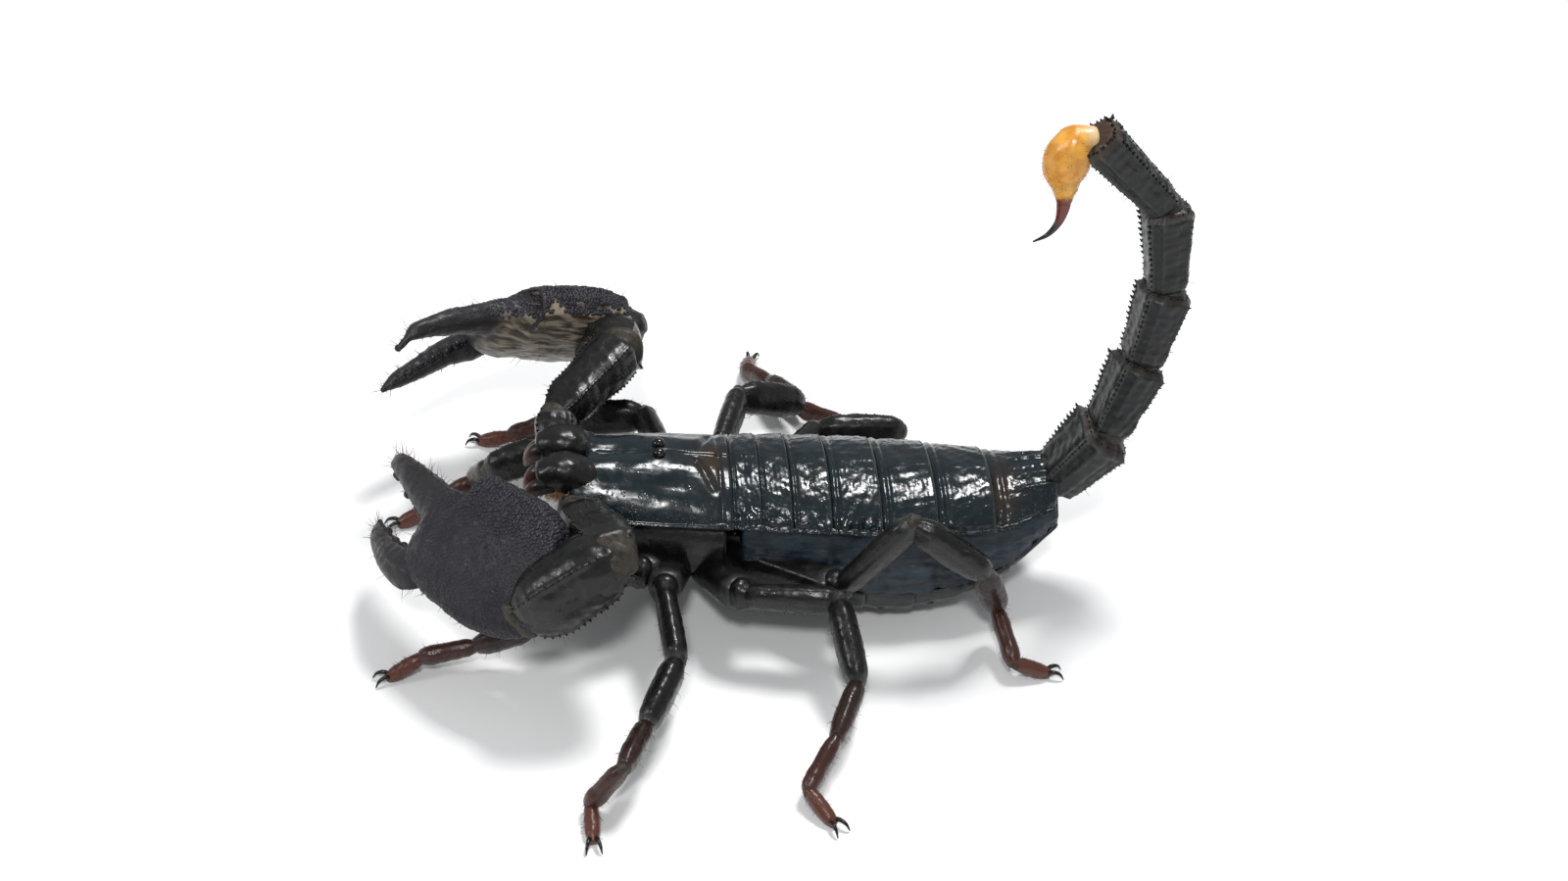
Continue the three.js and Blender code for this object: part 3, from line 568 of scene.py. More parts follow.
class Coat:
    """Fine stiff hairs, each a tapering closed spike, with a bake map of where they root."""

    def __init__(self, tiles=1):
        self.tiles = tiles
        self.used = 0
        self.rows = []

    def grow(self, surface, along, turn, length, rng, lean=(0, 0, 0), thick=0.045,
             same_tile=False):
        """Roots hairs on a surface at shares along and round it, each surface on its own tile."""
        along, turn = np.asarray(along, float), np.asarray(turn, float)
        root, out = surface.at(along, turn)
        way = unit(out + rng.normal(scale=HAIR_SPREAD, size=out.shape) + np.array(lean))
        sag = rng.normal(scale=HAIR_BEND, size=out.shape) - HAIR_CURL * out
        reach = np.broadcast_to(length, along.shape) * rng.uniform(0.6, 1.15, along.shape)
        if not same_tile:
            self.used += 1
        row, column = divmod(self.used - 1, self.tiles)
        spot = np.stack([along, turn % 1], axis=1) * TILE_USED + TILE_MARGIN
        uv = (spot + np.array([column, row])) / self.tiles
        clear = (root + (way + sag) * reach[:, None])[:, 2] > HAIR_CLEARANCE
        self.rows.append([part[clear] for part in (
            root - HAIR_ROOT * out, way, sag, reach, uv, np.full(along.shape, thick))])

    def make(self, name, finish, slot):
        """Builds every hair as one piece."""
        root, way, sag, reach, uv, thick = [np.concatenate(p) for p in zip(*self.rows)]
        side = unit(np.cross(way, [0.3, 0.5, 0.81]))
        other = np.cross(way, side)
        points, maps = [], []
        for t, share in HAIR_RINGS:
            centre = root + (way * t + sag * t * t) * reach[:, None]
            for k in range(3):
                a = 2 * math.pi * k / 3
                points.append(centre + (side * math.cos(a) + other * math.sin(a))
                              * (thick * share)[:, None])
                maps.append(uv + np.array([k / 3, t]) * HAIR_PATCH)
        points.append(root + (way + sag) * reach[:, None])
        maps.append(uv + np.array([0.5, 1]) * HAIR_PATCH)
        count = len(points)
        points = np.stack(points, axis=1).reshape(-1, 3)
        maps = np.stack(maps, axis=1).reshape(-1, 2)
        faces = [(2, 1, 0)]
        for ring in (0, 3):
            faces += [(ring + k, ring + (k + 1) % 3, ring + 3 + (k + 1) % 3, ring + 3 + k)
                      for k in range(3)]
        faces += [(6 + k, 6 + (k + 1) % 3, 9) for k in range(3)]
        every = [tuple(c + n * count for c in face) for n in range(len(root)) for face in faces]
        mesh = bpy.data.meshes.new(name)
        mesh.from_pydata(((points + SHIFT) * MM).tolist(), [], every)
        layer = mesh.uv_layers.new(name="OFBake")
        corners = np.empty(len(mesh.loops), np.int32)
        mesh.loops.foreach_get("vertex_index", corners)
        layer.data.foreach_set("uv", maps[corners].astype(np.float32).ravel())
        mesh.polygons.foreach_set("use_smooth", np.ones(len(mesh.polygons), bool))
        mesh.materials.append(finish)
        settle(add_object(name, mesh), ())


# ---- Finishes ----

class Value:
    """A node's output in Python arithmetic: each operator adds a Math node."""

    def __init__(self, finish, socket):
        self.finish = finish
        self.socket = socket

    def _math(self, operation, first, second):
        return self.finish.node(
            "ShaderNodeMath", {"operation": operation}, {0: first, 1: second})

    def __add__(self, other):
        return self._math("ADD", self, other)

    def __sub__(self, other):
        return self._math("SUBTRACT", self, other)

    def __rsub__(self, other):
        return self._math("SUBTRACT", other, self)

    def __mul__(self, other):
        return self._math("MULTIPLY", self, other)

    __radd__ = __add__
    __rmul__ = __mul__


class Finish:
    """A surface finish, put together node by node."""

    def __init__(self, name, **constants):
        self.material = bpy.data.materials.new(name)
        self.material.use_nodes = True
        self.tree = self.material.node_tree
        self.tree.nodes.clear()
        end = self.tree.nodes.new("ShaderNodeOutputMaterial")
        self.shader = self.tree.nodes.new("ShaderNodeBsdfPrincipled")
        self.tree.links.new(self.shader.outputs[0], end.inputs[0])
        for key, value in constants.items():
            self.shader.inputs[key.replace("_", " ")].default_value = value
        self.place = self.node("ShaderNodeTexCoord", {}, {}, out=3)

    def node(self, kind, settings, sockets, out=0):
        """Adds a node: its settings first, then what its sockets hold or are linked to."""
        new = self.tree.nodes.new(kind)
        for key, value in settings.items():
            if key == "stops":
                ramp = new.color_ramp.elements
                while len(ramp) < len(value):
                    ramp.new(0.5)
                for element, (at, colour) in zip(ramp, value):
                    element.position = at
                    element.color = (*colour, 1)
            else:
                setattr(new, key, value)
        for key, value in sockets.items():
            self.feed(new.inputs[key], value)
        return Value(self, new.outputs[out])

    def feed(self, socket, value):
        """Links a value to a socket, or sets the socket to a plain number or colour."""
        if isinstance(value, Value):
            self.tree.links.new(value.socket, socket)
        elif socket.type == "RGBA":
            socket.default_value = (*value[:3], 1)
        else:
            socket.default_value = value

    def mark(self, name):
        """A number that is marked on the piece's points."""
        return self.node("ShaderNodeAttribute", {"attribute_name": name}, {}, out=2)

    def noise(self, size, detail=3, at=None, stretch=(1, 1, 1)):
        """Cloudy unevenness with features of a size in millimetres."""
        scaled = self.node("ShaderNodeMapping", {}, {
            "Vector": at or self.place, "Scale": [1 / s for s in stretch]})
        scale = 1 / size / (MM if at is None else 1)
        return self.node("ShaderNodeTexNoise", {}, {
            "Vector": scaled, "Scale": scale, "Detail": detail, "Roughness": 0.55})

    def cells(self, size):
        """Distance from the middle of round cells of a size in millimetres."""
        return self.node("ShaderNodeTexVoronoi", {}, {"Vector": self.place, "Scale": 1 / size / MM})

    def fit(self, value, low, high, to_low=0.0, to_high=1.0):
        """A value's range moved to another range, and held inside it."""
        return self.node("ShaderNodeMapRange", {}, {
            0: value, 1: low, 2: high, 3: to_low, 4: to_high})

    def patches(self, size, detail, low, high):
        """Soft patches of a size in millimetres: 0 where the noise is low, 1 where it is high."""
        return self.fit(self.noise(size, detail), low, high)

    def sheen(self, size, detail, low, high):
        """Roughness that drifts between two values over a size in millimetres."""
        return self.fit(self.noise(size, detail), 0.3, 0.7, low, high)

    def pits(self, size, rim):
        """Round pits of a size in millimetres: 0 in their middles, 1 from the rim outward."""
        return self.fit(self.cells(size), 0.0, rim)

    def mix(self, share, first, second):
        """One colour passing into another."""
        return self.node("ShaderNodeMix", {"data_type": "RGBA"}, {0: share, 6: first, 7: second},
                         out=2)

    def done(self, colour, rough, height=None, depth=0.1, strength=0.6):
        """Connects colour and roughness, and a height as a bump of a depth in millimetres."""
        self.feed(self.shader.inputs["Base Color"], colour)
        self.feed(self.shader.inputs["Roughness"], rough)
        if height is not None:
            bump = self.node("ShaderNodeBump", {}, {
                "Strength": strength, "Distance": depth * MM, "Height": height})
            self.feed(self.shader.inputs["Normal"], bump)
        return self.material


FINISHES = {}


def finish(name):
    """A finish by name, made the first time that a piece asks for it."""
    if name not in FINISHES:
        FINISHES[name] = MAKERS[name](bpy.context.scene.scorpion_colours)
    return FINISHES[name]


STREAK_STRETCH = 0.28  # on the claws' inner faces: the smaller, the longer the streaks
FLOOR_FLECK = 1.01     # the floor's paler flecks against its own colour


def back_horn(c):
    """Glossy blue-black horn of the back plates, browner in places, pale along rear edges."""
    f = Finish("Back horn", IOR=1.5, Specular_IOR_Level=0.4)
    cloud, fine = f.noise(6, 4), f.noise(0.5, 2)
    warm = f.fit(cloud, 0.52, 0.72) * 0.3 + f.mark("warm")
    colour = f.mix(f.patches(2.2, 3, 0.35, 0.65), c.shell, c.shell_light)
    colour = f.mix(warm, colour, c.shell_warm)
    colour = f.mix(f.mark("edge") * 0.75, colour, c.pale_edge)
    pits = f.pits(0.55, 0.28)
    rough = f.sheen(1.4, 4, 0.12, 0.3) + f.mark("edge") * 0.2
    height = pits * 0.5 + fine * 0.35 + f.noise(1.6, 3) * 0.4
    return f.done(colour, rough, height, 0.07, 0.5)


def claw_horn(c):
    """Purplish-black claw horn: coarse outside, smooth and streaked with brown on the inside."""
    f = Finish("Claw horn", IOR=1.5, Specular_IOR_Level=0.34)
    inner, rough_part, tip = f.mark("inner"), f.mark("rough"), f.mark("tip")
    outside = f.mix(f.patches(3, 4, 0.35, 0.7), c.claw, c.claw_light)
    outside = f.mix(tip, outside, c.finger)
    streak = f.node("ShaderNodeCombineXYZ", {}, {
        0: f.mark("run") * STREAK_STRETCH, 1: f.mark("rise"), 2: 0.0})
    grain = f.noise(0.9, 5, at=streak)
    inside = f.mix(f.fit(grain, 0.44, 0.58), c.inner_dark, c.inner_pale)
    inside = f.mix(f.fit(f.noise(2.6, 3, at=streak), 0.4, 0.66) * 0.6, inside, c.inner_dark)
    colour = f.mix(inner, outside, inside)
    rough = f.sheen(0.8, 3, 0.3, 0.5) + rough_part * 0.08
    beads = f.fit(f.cells(0.42), 0.5, 0.0)
    height = beads * rough_part + f.noise(0.5, 3) * 0.35
    return f.done(colour, rough, height, 0.12, 0.6)


def limb_horn(c):
    """Glossy brownish-black horn of legs and arms, reddish towards the feet."""
    f = Finish("Limb horn", IOR=1.52, Specular_IOR_Level=0.36)
    colour = f.mix(f.patches(2.4, 4, 0.4, 0.7), c.limb, c.limb_light)
    colour = f.mix(f.mark("tip"), colour, c.foot)
    colour = f.mix(f.mark("keel") * 0.55, colour, c.keel)
    colour = f.mix(f.mark("claw"), colour, c.limb)
    rough = f.sheen(1.1, 3, 0.2, 0.4) + f.mark("keel") * 0.1
    height = f.pits(0.6, 0.3) * 0.4 + f.noise(0.7, 4)
    return f.done(colour, rough, height, 0.1, 0.5)


def tail_horn(c):
    """Dark, satin panels of the tail between greyish keels."""
    f = Finish("Tail horn", IOR=1.5, Specular_IOR_Level=0.34)
    keel = f.fit(f.mark("keel") + (f.noise(0.7, 4) - 0.5) * 0.7, 0.3, 0.95)
    colour = f.mix(f.patches(2.0, 4, 0.4, 0.7), c.tail, c.limb_light)
    colour = f.mix(keel * 0.75, colour, c.keel)
    colour = f.mix(f.mark("warm"), colour, c.joint_warm)
    rough = f.sheen(1.0, 4, 0.26, 0.46) + keel * 0.12
    height = f.pits(0.5, 0.3) * 0.5 + f.noise(0.6, 4)
    return f.done(colour, rough, height, 0.1, 0.6)


def flank_skin(c):
    """Soft, finely creased blue-grey skin between the plates, with painted shade in its creases."""
    f = Finish("Flank skin", IOR=1.45)
    fold = f.noise(1.0, 5, stretch=(3.5, 1, 1))
    # Painted shade: the skin's colour darkens where the folds sink into creases.
    colour = f.mix(f.fit(fold, 0.35, 0.7), c.skin_crease_shade, c.skin)
    rough = f.sheen(0.9, 3, 0.34, 0.55)
    return f.done(colour, rough, fold + f.noise(0.3, 2) * 0.25, 0.2, 0.7)


def belly_horn(c):
    """Thin brownish plates of the belly, finely lined along their length."""
    f = Finish("Belly horn", IOR=1.48)
    lines = f.noise(0.5, 4, stretch=(9, 1, 1))
    colour = f.mix(f.fit(lines, 0.3, 0.72), c.sternite, c.sternite_light)
    colour = f.mix(f.mark("edge") * 0.6, colour, c.pale_edge)
    rough = f.sheen(1.5, 3, 0.26, 0.42)
    return f.done(colour, rough, lines + f.noise(1.4, 2) * 0.6, 0.1, 0.5)


def joint_skin(c):
    """Soft greenish-brown skin in the joints of the limbs and tail, with painted shade in its
    creases.
    """
    f = Finish("Joint skin", IOR=1.45, Specular_IOR_Level=0.3)
    fold = f.noise(0.7, 4)
    # Painted shade: the joint skin's colour darkens where the folds sink into creases.
    colour = f.mix(f.fit(fold, 0.35, 0.65), c.joint_crease_shade, c.joint)
    colour = f.mix(f.mark("warm"), colour, c.joint_warm)
    return f.done(colour, f.fit(fold, 0.3, 0.7, 0.35, 0.6), fold, 0.15, 0.7)


def amber_horn(c):
    """Translucent golden horn of the poison bulb, with warmer clouds and painted orange-brown shade
    on one side.
    """
    f = Finish("Amber horn", IOR=1.5, Subsurface_Weight=0.25, Subsurface_Scale=0.0012)
    cloud = f.noise(1.8, 4)
    colour = f.mix(f.fit(cloud, 0.38, 0.66), c.amber, c.amber_light)
    # Painted shade: orange-brown on one side of the bulb.
    colour = f.mix(f.mark("shade"), colour, c.amber_painted_shade)
    colour = f.mix(f.mark("pale"), colour, c.amber_pale)
    colour = f.mix(f.mark("tip"), colour, c.sting)
    rough = f.sheen(0.8, 3, 0.2, 0.38)
    return f.done(colour, rough, f.noise(0.6, 4) + f.pits(0.8, 0.3) * 0.4, 0.1, 0.5)


def sting_horn(c):
    """Dark red sting, black at its point."""
    f = Finish("Sting horn", IOR=1.53)
    colour = f.mix(f.fit(f.mark("tip") + (f.noise(0.8, 3) - 0.5) * 0.3, 0.1, 0.75),
                   c.sting, c.sting_tip)
    return f.done(colour, f.sheen(0.5, 3, 0.14, 0.3), f.noise(0.5, 3), 0.04, 0.4)


def eye_glass(c):
    """Polished black eye."""
    f = Finish("Eye", IOR=1.55)
    colour = f.mix(f.patches(0.4, 2, 0.4, 0.6), c.eye, c.eye_light)
    return f.done(colour, f.sheen(0.6, 2, 0.04, 0.09))


def hair_horn(c):
    """Stiff brownish hair."""
    f = Finish("Hair", IOR=1.5)
    colour = f.mix(f.patches(1.2, 3, 0.4, 0.6), c.hair, c.hair_light)
    return f.done(colour, f.sheen(0.6, 2, 0.35, 0.5))


def gold_hair(c):
    """Golden brush of the mouth parts."""
    f = Finish("Golden hair", IOR=1.5)
    colour = f.mix(f.patches(0.8, 3, 0.4, 0.6), c.gold, c.foot)
    return f.done(colour, f.sheen(0.6, 2, 0.3, 0.5))


def floor_paint(c):
    """Plain pale floor."""
    f = Finish("Floor paint")
    colour = f.mix(f.noise(60, 2), c.floor, [min(v * FLOOR_FLECK, 1) for v in c.floor])
    return f.done(colour, f.sheen(30, 2, 0.55, 0.65))


MAKERS = dict(
    back=back_horn, claw=claw_horn, limb=limb_horn, tail=tail_horn, skin=flank_skin,
    belly=belly_horn, joint=joint_skin, amber=amber_horn, sting=sting_horn, eye=eye_glass,
    hair=hair_horn, gold=gold_hair, floor=floor_paint)


# ---- Trunk ----

def back_point(x, across, depth=0.0, lift=0.0):
    """The arched back at a place along it and across it, from -1 to 1."""
    turn = across * math.pi / 2
    rise = crown(x) - margin(x) - depth + lift
    half = half_width(x) - depth + 0.4 * lift
    arch = np.maximum(np.cos(turn), 0) ** ARCH_POWER
    return np.stack([x + 0 * turn, half * np.sin(turn), margin(x) + rise * arch], axis=-1)


def lobe_edge(s):
    """The notched front edge of the carapace."""
    return -CARAPACE_LENGTH - 0.4 + 2.8 * bell(s, 0.34) + 2.6 * np.abs(s) ** 4


def carapace_surface():
    """The carapace with its furrows, the eye mound and its rounded front lobes."""
    s = np.linspace(-1, 1, 181)[None, :]
    t = np.linspace(0, 1, 120)[:, None]
    x = lobe_edge(s) * (1 - t) - 0.12 * t
    grid = back_point(x, s + 0 * t)
    grid[..., 2] -= 0.55 * bell(s, 0.13) * bell(x + 13, 9) * np.cos(s * math.pi / 2)
    plain = Surface(grid, closed=False)
    y, side = grid[..., 1], np.abs(grid[..., 1])
    height = 0.42 * bell(x + 8.8, 2.1) * bell(y, 1.7)
    height -= 0.26 * bell(y, 0.2) * (1 - 0.7 * bell(x + 8.8, 1.6)) * step(t, 0.02, 0.12)
    groove = x - (-4.6 + 0.42 * side)
    height -= 0.4 * bell(groove, 0.5) * step(side, 0.3, 1.1) * (1 - step(side, 4.6, 6.4))
    height -= 0.3 * bell(x + 7, 3) * bell(side - 5.0, 1.1)
    height += 0.3 * bell(x + 17.4, 2.2) * bell(side - 3.3, 1.8)
    height += 0.14 * bell(np.abs(s) - 0.965, 0.028)
    height -= 0.18 * bell(x + 1.5, 0.25)
    height -= 0.35 * (1 - step(t, 0, 0.03)) + 0.25 * step(t, 0.985, 1)
    height += 0.04 * ripple(grid, 3, 3) + 0.01 * ripple(grid, 0.9, 4)
    return plain.puffed(height), x, s + 0 * t, t + 0 * s


def build_carapace():
    """The carapace, with fine beads towards its side margins."""
    surface, x, s, t = carapace_surface()
    warm = 0.85 * bell(x + 2.6, 1.4) * bell(s + 0.1, 0.3)
    shape = Shape().plate(surface, CARAPACE_THICK, edge=0.6 * step(t, 0.985, 1), warm=warm)
    make_piece("carapace_shield", shape, finish("back"), ["carapace"])
    rng = np.random.default_rng(11)
    along, across = surface.scatter(0.5, rng)
    offset = np.abs(2 * across - 1)
    chance = step(offset, 0.5, 0.95) * 0.8 * step(along, 0.02, 0.1)
    beads = Studs()
    beads.add(surface, along, across, sunk=0.04, keep=rng.uniform(size=len(along)) < chance)
    beads.make("carapace_beads", finish("back"), "shell", width=0.13, height=0.09)


def build_eyes():
    """The pair of main eyes on their mound and three small eyes at each front corner."""
    for name, side in SIDES.items():
        x, y, z = EYE_DRAWN[0], side * -EYE_DRAWN[1], EYE_DRAWN[2]
        shape = Shape().tube(ball((x, y, z), (0.8, 0.72, 0.64)))
        make_piece("eye_main_" + name, shape, finish("eye"), ["eye_median_" + name])
    surface = carapace_surface()[0]
    corner = Shape()
    for side in (0, 1):
        for along, across, size in ((0.035, 0.155, 0.4), (0.075, 0.13, 0.4), (0.12, 0.112, 0.33)):
            place, way = surface.spot(along, 1 - across if side else across)
            corner.tube(ball(place + 0.05 * way, (size, size, size), 18, 10))
    make_piece("eyes_corner", corner, finish("eye"))


def tergite_surface(index):
    """One back plate, tucked under the plate before it and lifted at its rear edge."""
    start, length = sum(TERGITES[:index]), TERGITES[index]
    last = index == len(TERGITES) - 1
    s = np.linspace(-1, 1, 141)[None, :]
    t = np.linspace(0, 1, 56)[:, None]
    x = start - 0.6 + (length + 0.48) * t + 0 * s
    if last:
        x = x - 0.5 * t * np.abs(s) ** 3
    grid = back_point(x, s + 0 * t, lift=0.32 * t)
    side = np.abs(grid[..., 1])
    flank = step(np.abs(s), 0.45, 0.9)
    height = -0.5 * (1 - step(t, 0.0, 0.16)) - 0.16 * bell(t - 0.22, 0.035)
    height = height - 0.14 * bell(t - 0.5, 0.16) * bell(side - 2.6, 1.1)
    height += 0.07 * bell(grid[..., 1], 0.3) * step(t, 0.25, 0.5)
    height += 0.12 * bell(np.abs(s) - 0.95, 0.04) - 0.12 * bell(np.abs(s) - 0.84, 0.05)
    height += (0.04 + 0.07 * flank) * ripple(grid, 1.5, 20 + index) + 0.02 * ripple(grid, 0.6, 5)
    height -= 0.2 * step(t, 0.97, 1)
    if last:
        for keel in (1.9, 4.0):
            height += 0.3 * bell(side - keel * (1 - 0.25 * t), 0.28) * step(t, 0.3, 0.55)
    return Surface(grid, closed=False).puffed(height), s + 0 * t, t + 0 * s


EDGE_BEADS = 90  # in the row along each back plate's rear edge


def build_tergites():
    """Seven back plates and the fine beads along their side margins."""
    beads = Studs()
    rng = np.random.default_rng(12)
    for index in range(len(TERGITES)):
        surface, s, t = tergite_surface(index)
        last = index == len(TERGITES) - 1
        warm = 0.75 * bell(t - 0.2, 0.22) * bell(s + 0.35, 0.4) if last else 0.0 * t
        shape = Shape().plate(surface, TERGITE_THICK, edge=step(t, 0.96, 0.99), warm=warm)
        make_piece("tergite_plate_%d" % (index + 1), shape, finish("back"),
                   ["tergite_%d" % (index + 1)])
        along, across = surface.scatter(0.42, rng)
        offset = np.abs(2 * across - 1)
        chance = step(offset, 0.55, 0.95) * (0.9 if last else 0.6) + (0.12 if last else 0.03)
        keep = (rng.uniform(size=len(along)) < chance) & (along > 0.25) & (along < 0.95)
        beads.add(surface, along, across, sunk=0.035, keep=keep)
        row = np.linspace(0.02, 0.98, EDGE_BEADS)
        beads.add(surface, np.full(EDGE_BEADS, 0.955), row, size=0.8, sunk=0.03)
    beads.make("tergite_beads", finish("back"), "shell", width=0.13, height=0.09)


def flank_point(x, turn, out=0.0):
    """The soft flank and belly, from one side margin (0) round to the other (pi)."""
    top = margin(x) - FLANK_TUCK
    full = half_width(x) + belly_bulge(x) * np.sin(turn) + out
    c = np.cos(turn)
    y = full * np.sign(c) * np.abs(c) ** FLANK_SQUARENESS
    drop = margin(x) - belly_line(x) - FLANK_TUCK
    return np.stack([x + 0 * turn, y, top - (drop + out) * np.sin(turn)], axis=-1)


def skin_surface():
    """The creased skin of the flanks, closed under the back plates."""
    x = np.linspace(1, 40.7, 130)[:, None]
    under = (np.linspace(0, 1, 28) * math.pi - math.pi / 2)[None, :]
    half = half_width(x) - 1.1
    rise = crown(x) - margin(x) - 1.1
    arch = np.stack([x + 0 * under, half * np.sin(under),
                     margin(x) + rise * np.maximum(np.cos(under), 0) ** ARCH_POWER], axis=-1)
    turn = (math.pi * np.linspace(0.06, 0.94, 96))[None, :]
    grid = np.concatenate([arch, flank_point(x, turn + 0 * x)], axis=1)
    soft = np.concatenate([0 * under, step(np.sin(turn), 0.1, 0.3)], axis=1)
    high = np.concatenate([0 * under, 1 - step(np.sin(turn), 0.72, 0.95)], axis=1)
    borders = np.cumsum((0,) + TERGITES)
    pinch = sum(bell(x - border, 0.55) for border in borders[1:-1])
    fold = ripple(grid, 1.1, 31, stretch=(4.5, 1, 1), waves=9)
    fine = ripple(grid, 0.5, 32, stretch=(3, 1, 1), waves=9)
    height = soft * (high * (0.2 * fold + 0.07 * fine - 0.3 * pinch) + 0.03 * fine)
    return Surface(grid).puffed(height)


def build_flanks():
    """One creased skin for the flanks and belly."""
    make_piece("flank_skin", Shape().tube(skin_surface()), finish("skin"), ["belly"])


def build_belly_plates():
    """The thin plates under the belly, each lapping over the next, with their breathing slits."""
    turn = (math.pi * np.linspace(0.2, 0.8, 90))[None, :]
    t = np.linspace(0, 1, 44)[:, None]
    slits = Shape()
    for index, (front, rear) in enumerate(zip(STERNITES, STERNITES[1:])):
        x = front - 0.5 + (rear - front + 0.5) * t + 0 * turn
        grid = flank_point(x, turn + 0 * t, out=0.16 + 0.3 * t)
        height = -0.3 * (1 - step(t, 0, 0.15)) - 0.16 * step(t, 0.95, 1)
        height = height + 0.035 * ripple(grid, 1.8, 41)
        edge = np.abs(turn / math.pi - 0.5) / 0.3
        height = height - 0.3 * step(edge, 0.93, 1)
        surface = Surface(grid, closed=False).puffed(height)
        shape = Shape().plate(surface, STERNITE_THICK, edge=step(t, 0.955, 0.985) + 0 * turn)
        make_piece("belly_plate_%d" % (index + 1), shape, finish("belly"))
        if index < 4:
            for across in (0.17, 0.83):
                slits.tube(ball(surface.spot(0.4, across)[0], (0.5, 0.16, 0.16), 16, 8))
    make_piece("breathing_slits", slits, finish("eye"))


def leg_joints(name):
    """The joints of a leg from its root to the tip of its toe."""
    root, turns = LEGS[name]
    joints = [np.array(root, float)]
    for i, length in enumerate(LEG_LENGTHS[name[-1]]):
        last = joints[-1]
        drop = math.degrees(math.asin((FOOT_HEIGHT - last[2]) / length)) if i == 4 else 0
        pitch = drop if i == 4 else turns[2 * i + 1]
        joints.append(last + aim(turns[2 * i], pitch) * length)
    return joints


def base_ridges(angle, share):
    """Relief round a leg's base: four low ridges."""
    return 0.97 + 0.05 * bell((angle % 90) - 45, 9)


def build_underside():
    """Bases of the legs and arms, with the breastplate and the lobes under the mouth."""
    shape = Shape()
    core = [(-17.6, 0, 12.5, 4.6, 2.6), (-14, 0, 12.3, 6.8, 4.4), (-7, 0, 11.6, 8.2, 5.4),
            (-1.2, 0, 11.2, 8.6, 5)]
    shape.tube(tube(core, UP, 60, 40, 2.8, caps=(0.05, 0.05)))
    for name, (root, _) in LEGS.items():
        joints = leg_joints(name)
        x, y, z = root
        inner = np.array([-6 + (x + 6) * 0.35, np.sign(y) * 3.2, 6.8 + (z - 6.8) * 0.2])
        outer = inner + (joints[0] - inner) * 0.9
        girth = ((-0.1, 0.7), (0.15, 0.98), (0.6, 0.92), (0.9, 0.84), (1, 0.8))
        coxa = tube(between(inner, outer, (2.7, 2.6), girth), UP, 40, 30, 2.5, base_ridges)
        shape.tube(coxa, keel=0.5 * step(coxa.share, 0.93, 1)[:, None])
        way = unit(joints[1] - joints[0])
        hip = between(outer - 0.3 * way, joints[0] + 0.9 * way, (1.55, 2.05),
                      ((0, 0.8), (0.3, 1), (0.8, 1), (1, 0.85)))
        shape.tube(tube(hip, UP, 32, 16, 2.4))
    for name, arm in ARMS.items():
        side = SIDES[name]
        coxa = between((-7, side * 4, 9.5), arm["coxa"], (3.3, 3.2),
                       ((-0.1, 0.7), (0.15, 1), (1, 0.87)))
        shape.tube(tube(coxa, UP, 44, 30, 2.4, caps=(0.6, 0.35)))
        lobe = [(-15.5, side * 2.1, 9.2, 1.2, 1.3), (-18, side * 1.9, 10.4, 1.4, 1.3),
                (-20.5, side * 1.7, 12.2, 0.9, 0.8)]
        shape.tube(tube(lobe, UP, 24, 16))
        flap = [(-1.6, side * 0.95, 6.0, 0.9, 0.4), (0.6, side * 1.1, 5.6, 1.3, 0.45),
                (2.4, side * 0.8, 5.2, 0.7, 0.35)]
        shape.tube(tube(flap, UP, 24, 14))
    breast = [(-5, 0, 6.4, 1.2, 0.5), (-3, 0, 6.0, 1.7, 0.6), (-1.2, 0, 5.8, 1.3, 0.5)]
    shape.tube(tube(breast, UP, 28, 14))
    make_piece("underside_bases", shape, finish("limb"), ["coxosternum"])


def build_mouth_parts():
    """The pair of small pincers in front of the mouth, with their golden brushes."""
    rng = np.random.default_rng(15)
    brush = Coat(2)
    for name, side in SIDES.items():
        y = side * 2.75
        hand = [(-15.6, side * 2.5, 19.2, 1.9, 1.6), (-17.8, side * 2.6, 20, 2.2, 2.1),
                (-20.8, y, 20.7, 2.4, 2.5), (-22.8, y, 20.2, 1.9, 2.1)]
        shape = Shape()
        body = tube(hand, UP, 48, 36, 2.4, caps=(0.3, 0.45))
        body = body.puffed(0.06 * ripple(body.grid, 1.6, 51))
        shape.tube(body)
        for drop, out, reach in ((0, side * -0.7, -25.1), (0.9, side, -24.8)):
            jaw = [(-21.8, y + out, 20.9 - drop, 1.2, 1.2), (-23.8, y + out, 20.2 - drop, 1, 1.05),
                   (-24.6, y + 0.8 * out, 19.3 - 0.9 * drop, 0.75, 0.75),
                   (reach, y + 0.6 * out, 18.2 - 0.8 * drop, 0.28, 0.28)]
            finger = tube(jaw, UP, 24, 24, 2.1)
            shape.tube(finger, tip=0.8 * step(finger.share, 0.25, 0.9)[:, None])
            for share in (0.45, 0.62, 0.78):
                tooth = ball(finger.spot(share, 0.75)[0], (0.26, 0.26, 0.26), 12, 8)
                shape.tube(tooth, tip=0.8)
        make_piece("mouth_pincer_" + name, shape, finish("limb"),
                   ["chelicera_" + name])
        along = rng.uniform(0.55, 1, 260)
        brush.grow(body, along, rng.uniform(0.6, 0.95, 260), 1.5, rng,
                   lean=(-0.5, 0, -0.9), thick=0.05)
    brush.make("mouth_brush", finish("gold"), "claw_shell")


COMB_SPREAD = math.radians(62)  # heading of each comb, away from the tail
COMB_TEETH, COMB_SPACING, COMB_TOOTH = 14, 0.5, 2.1


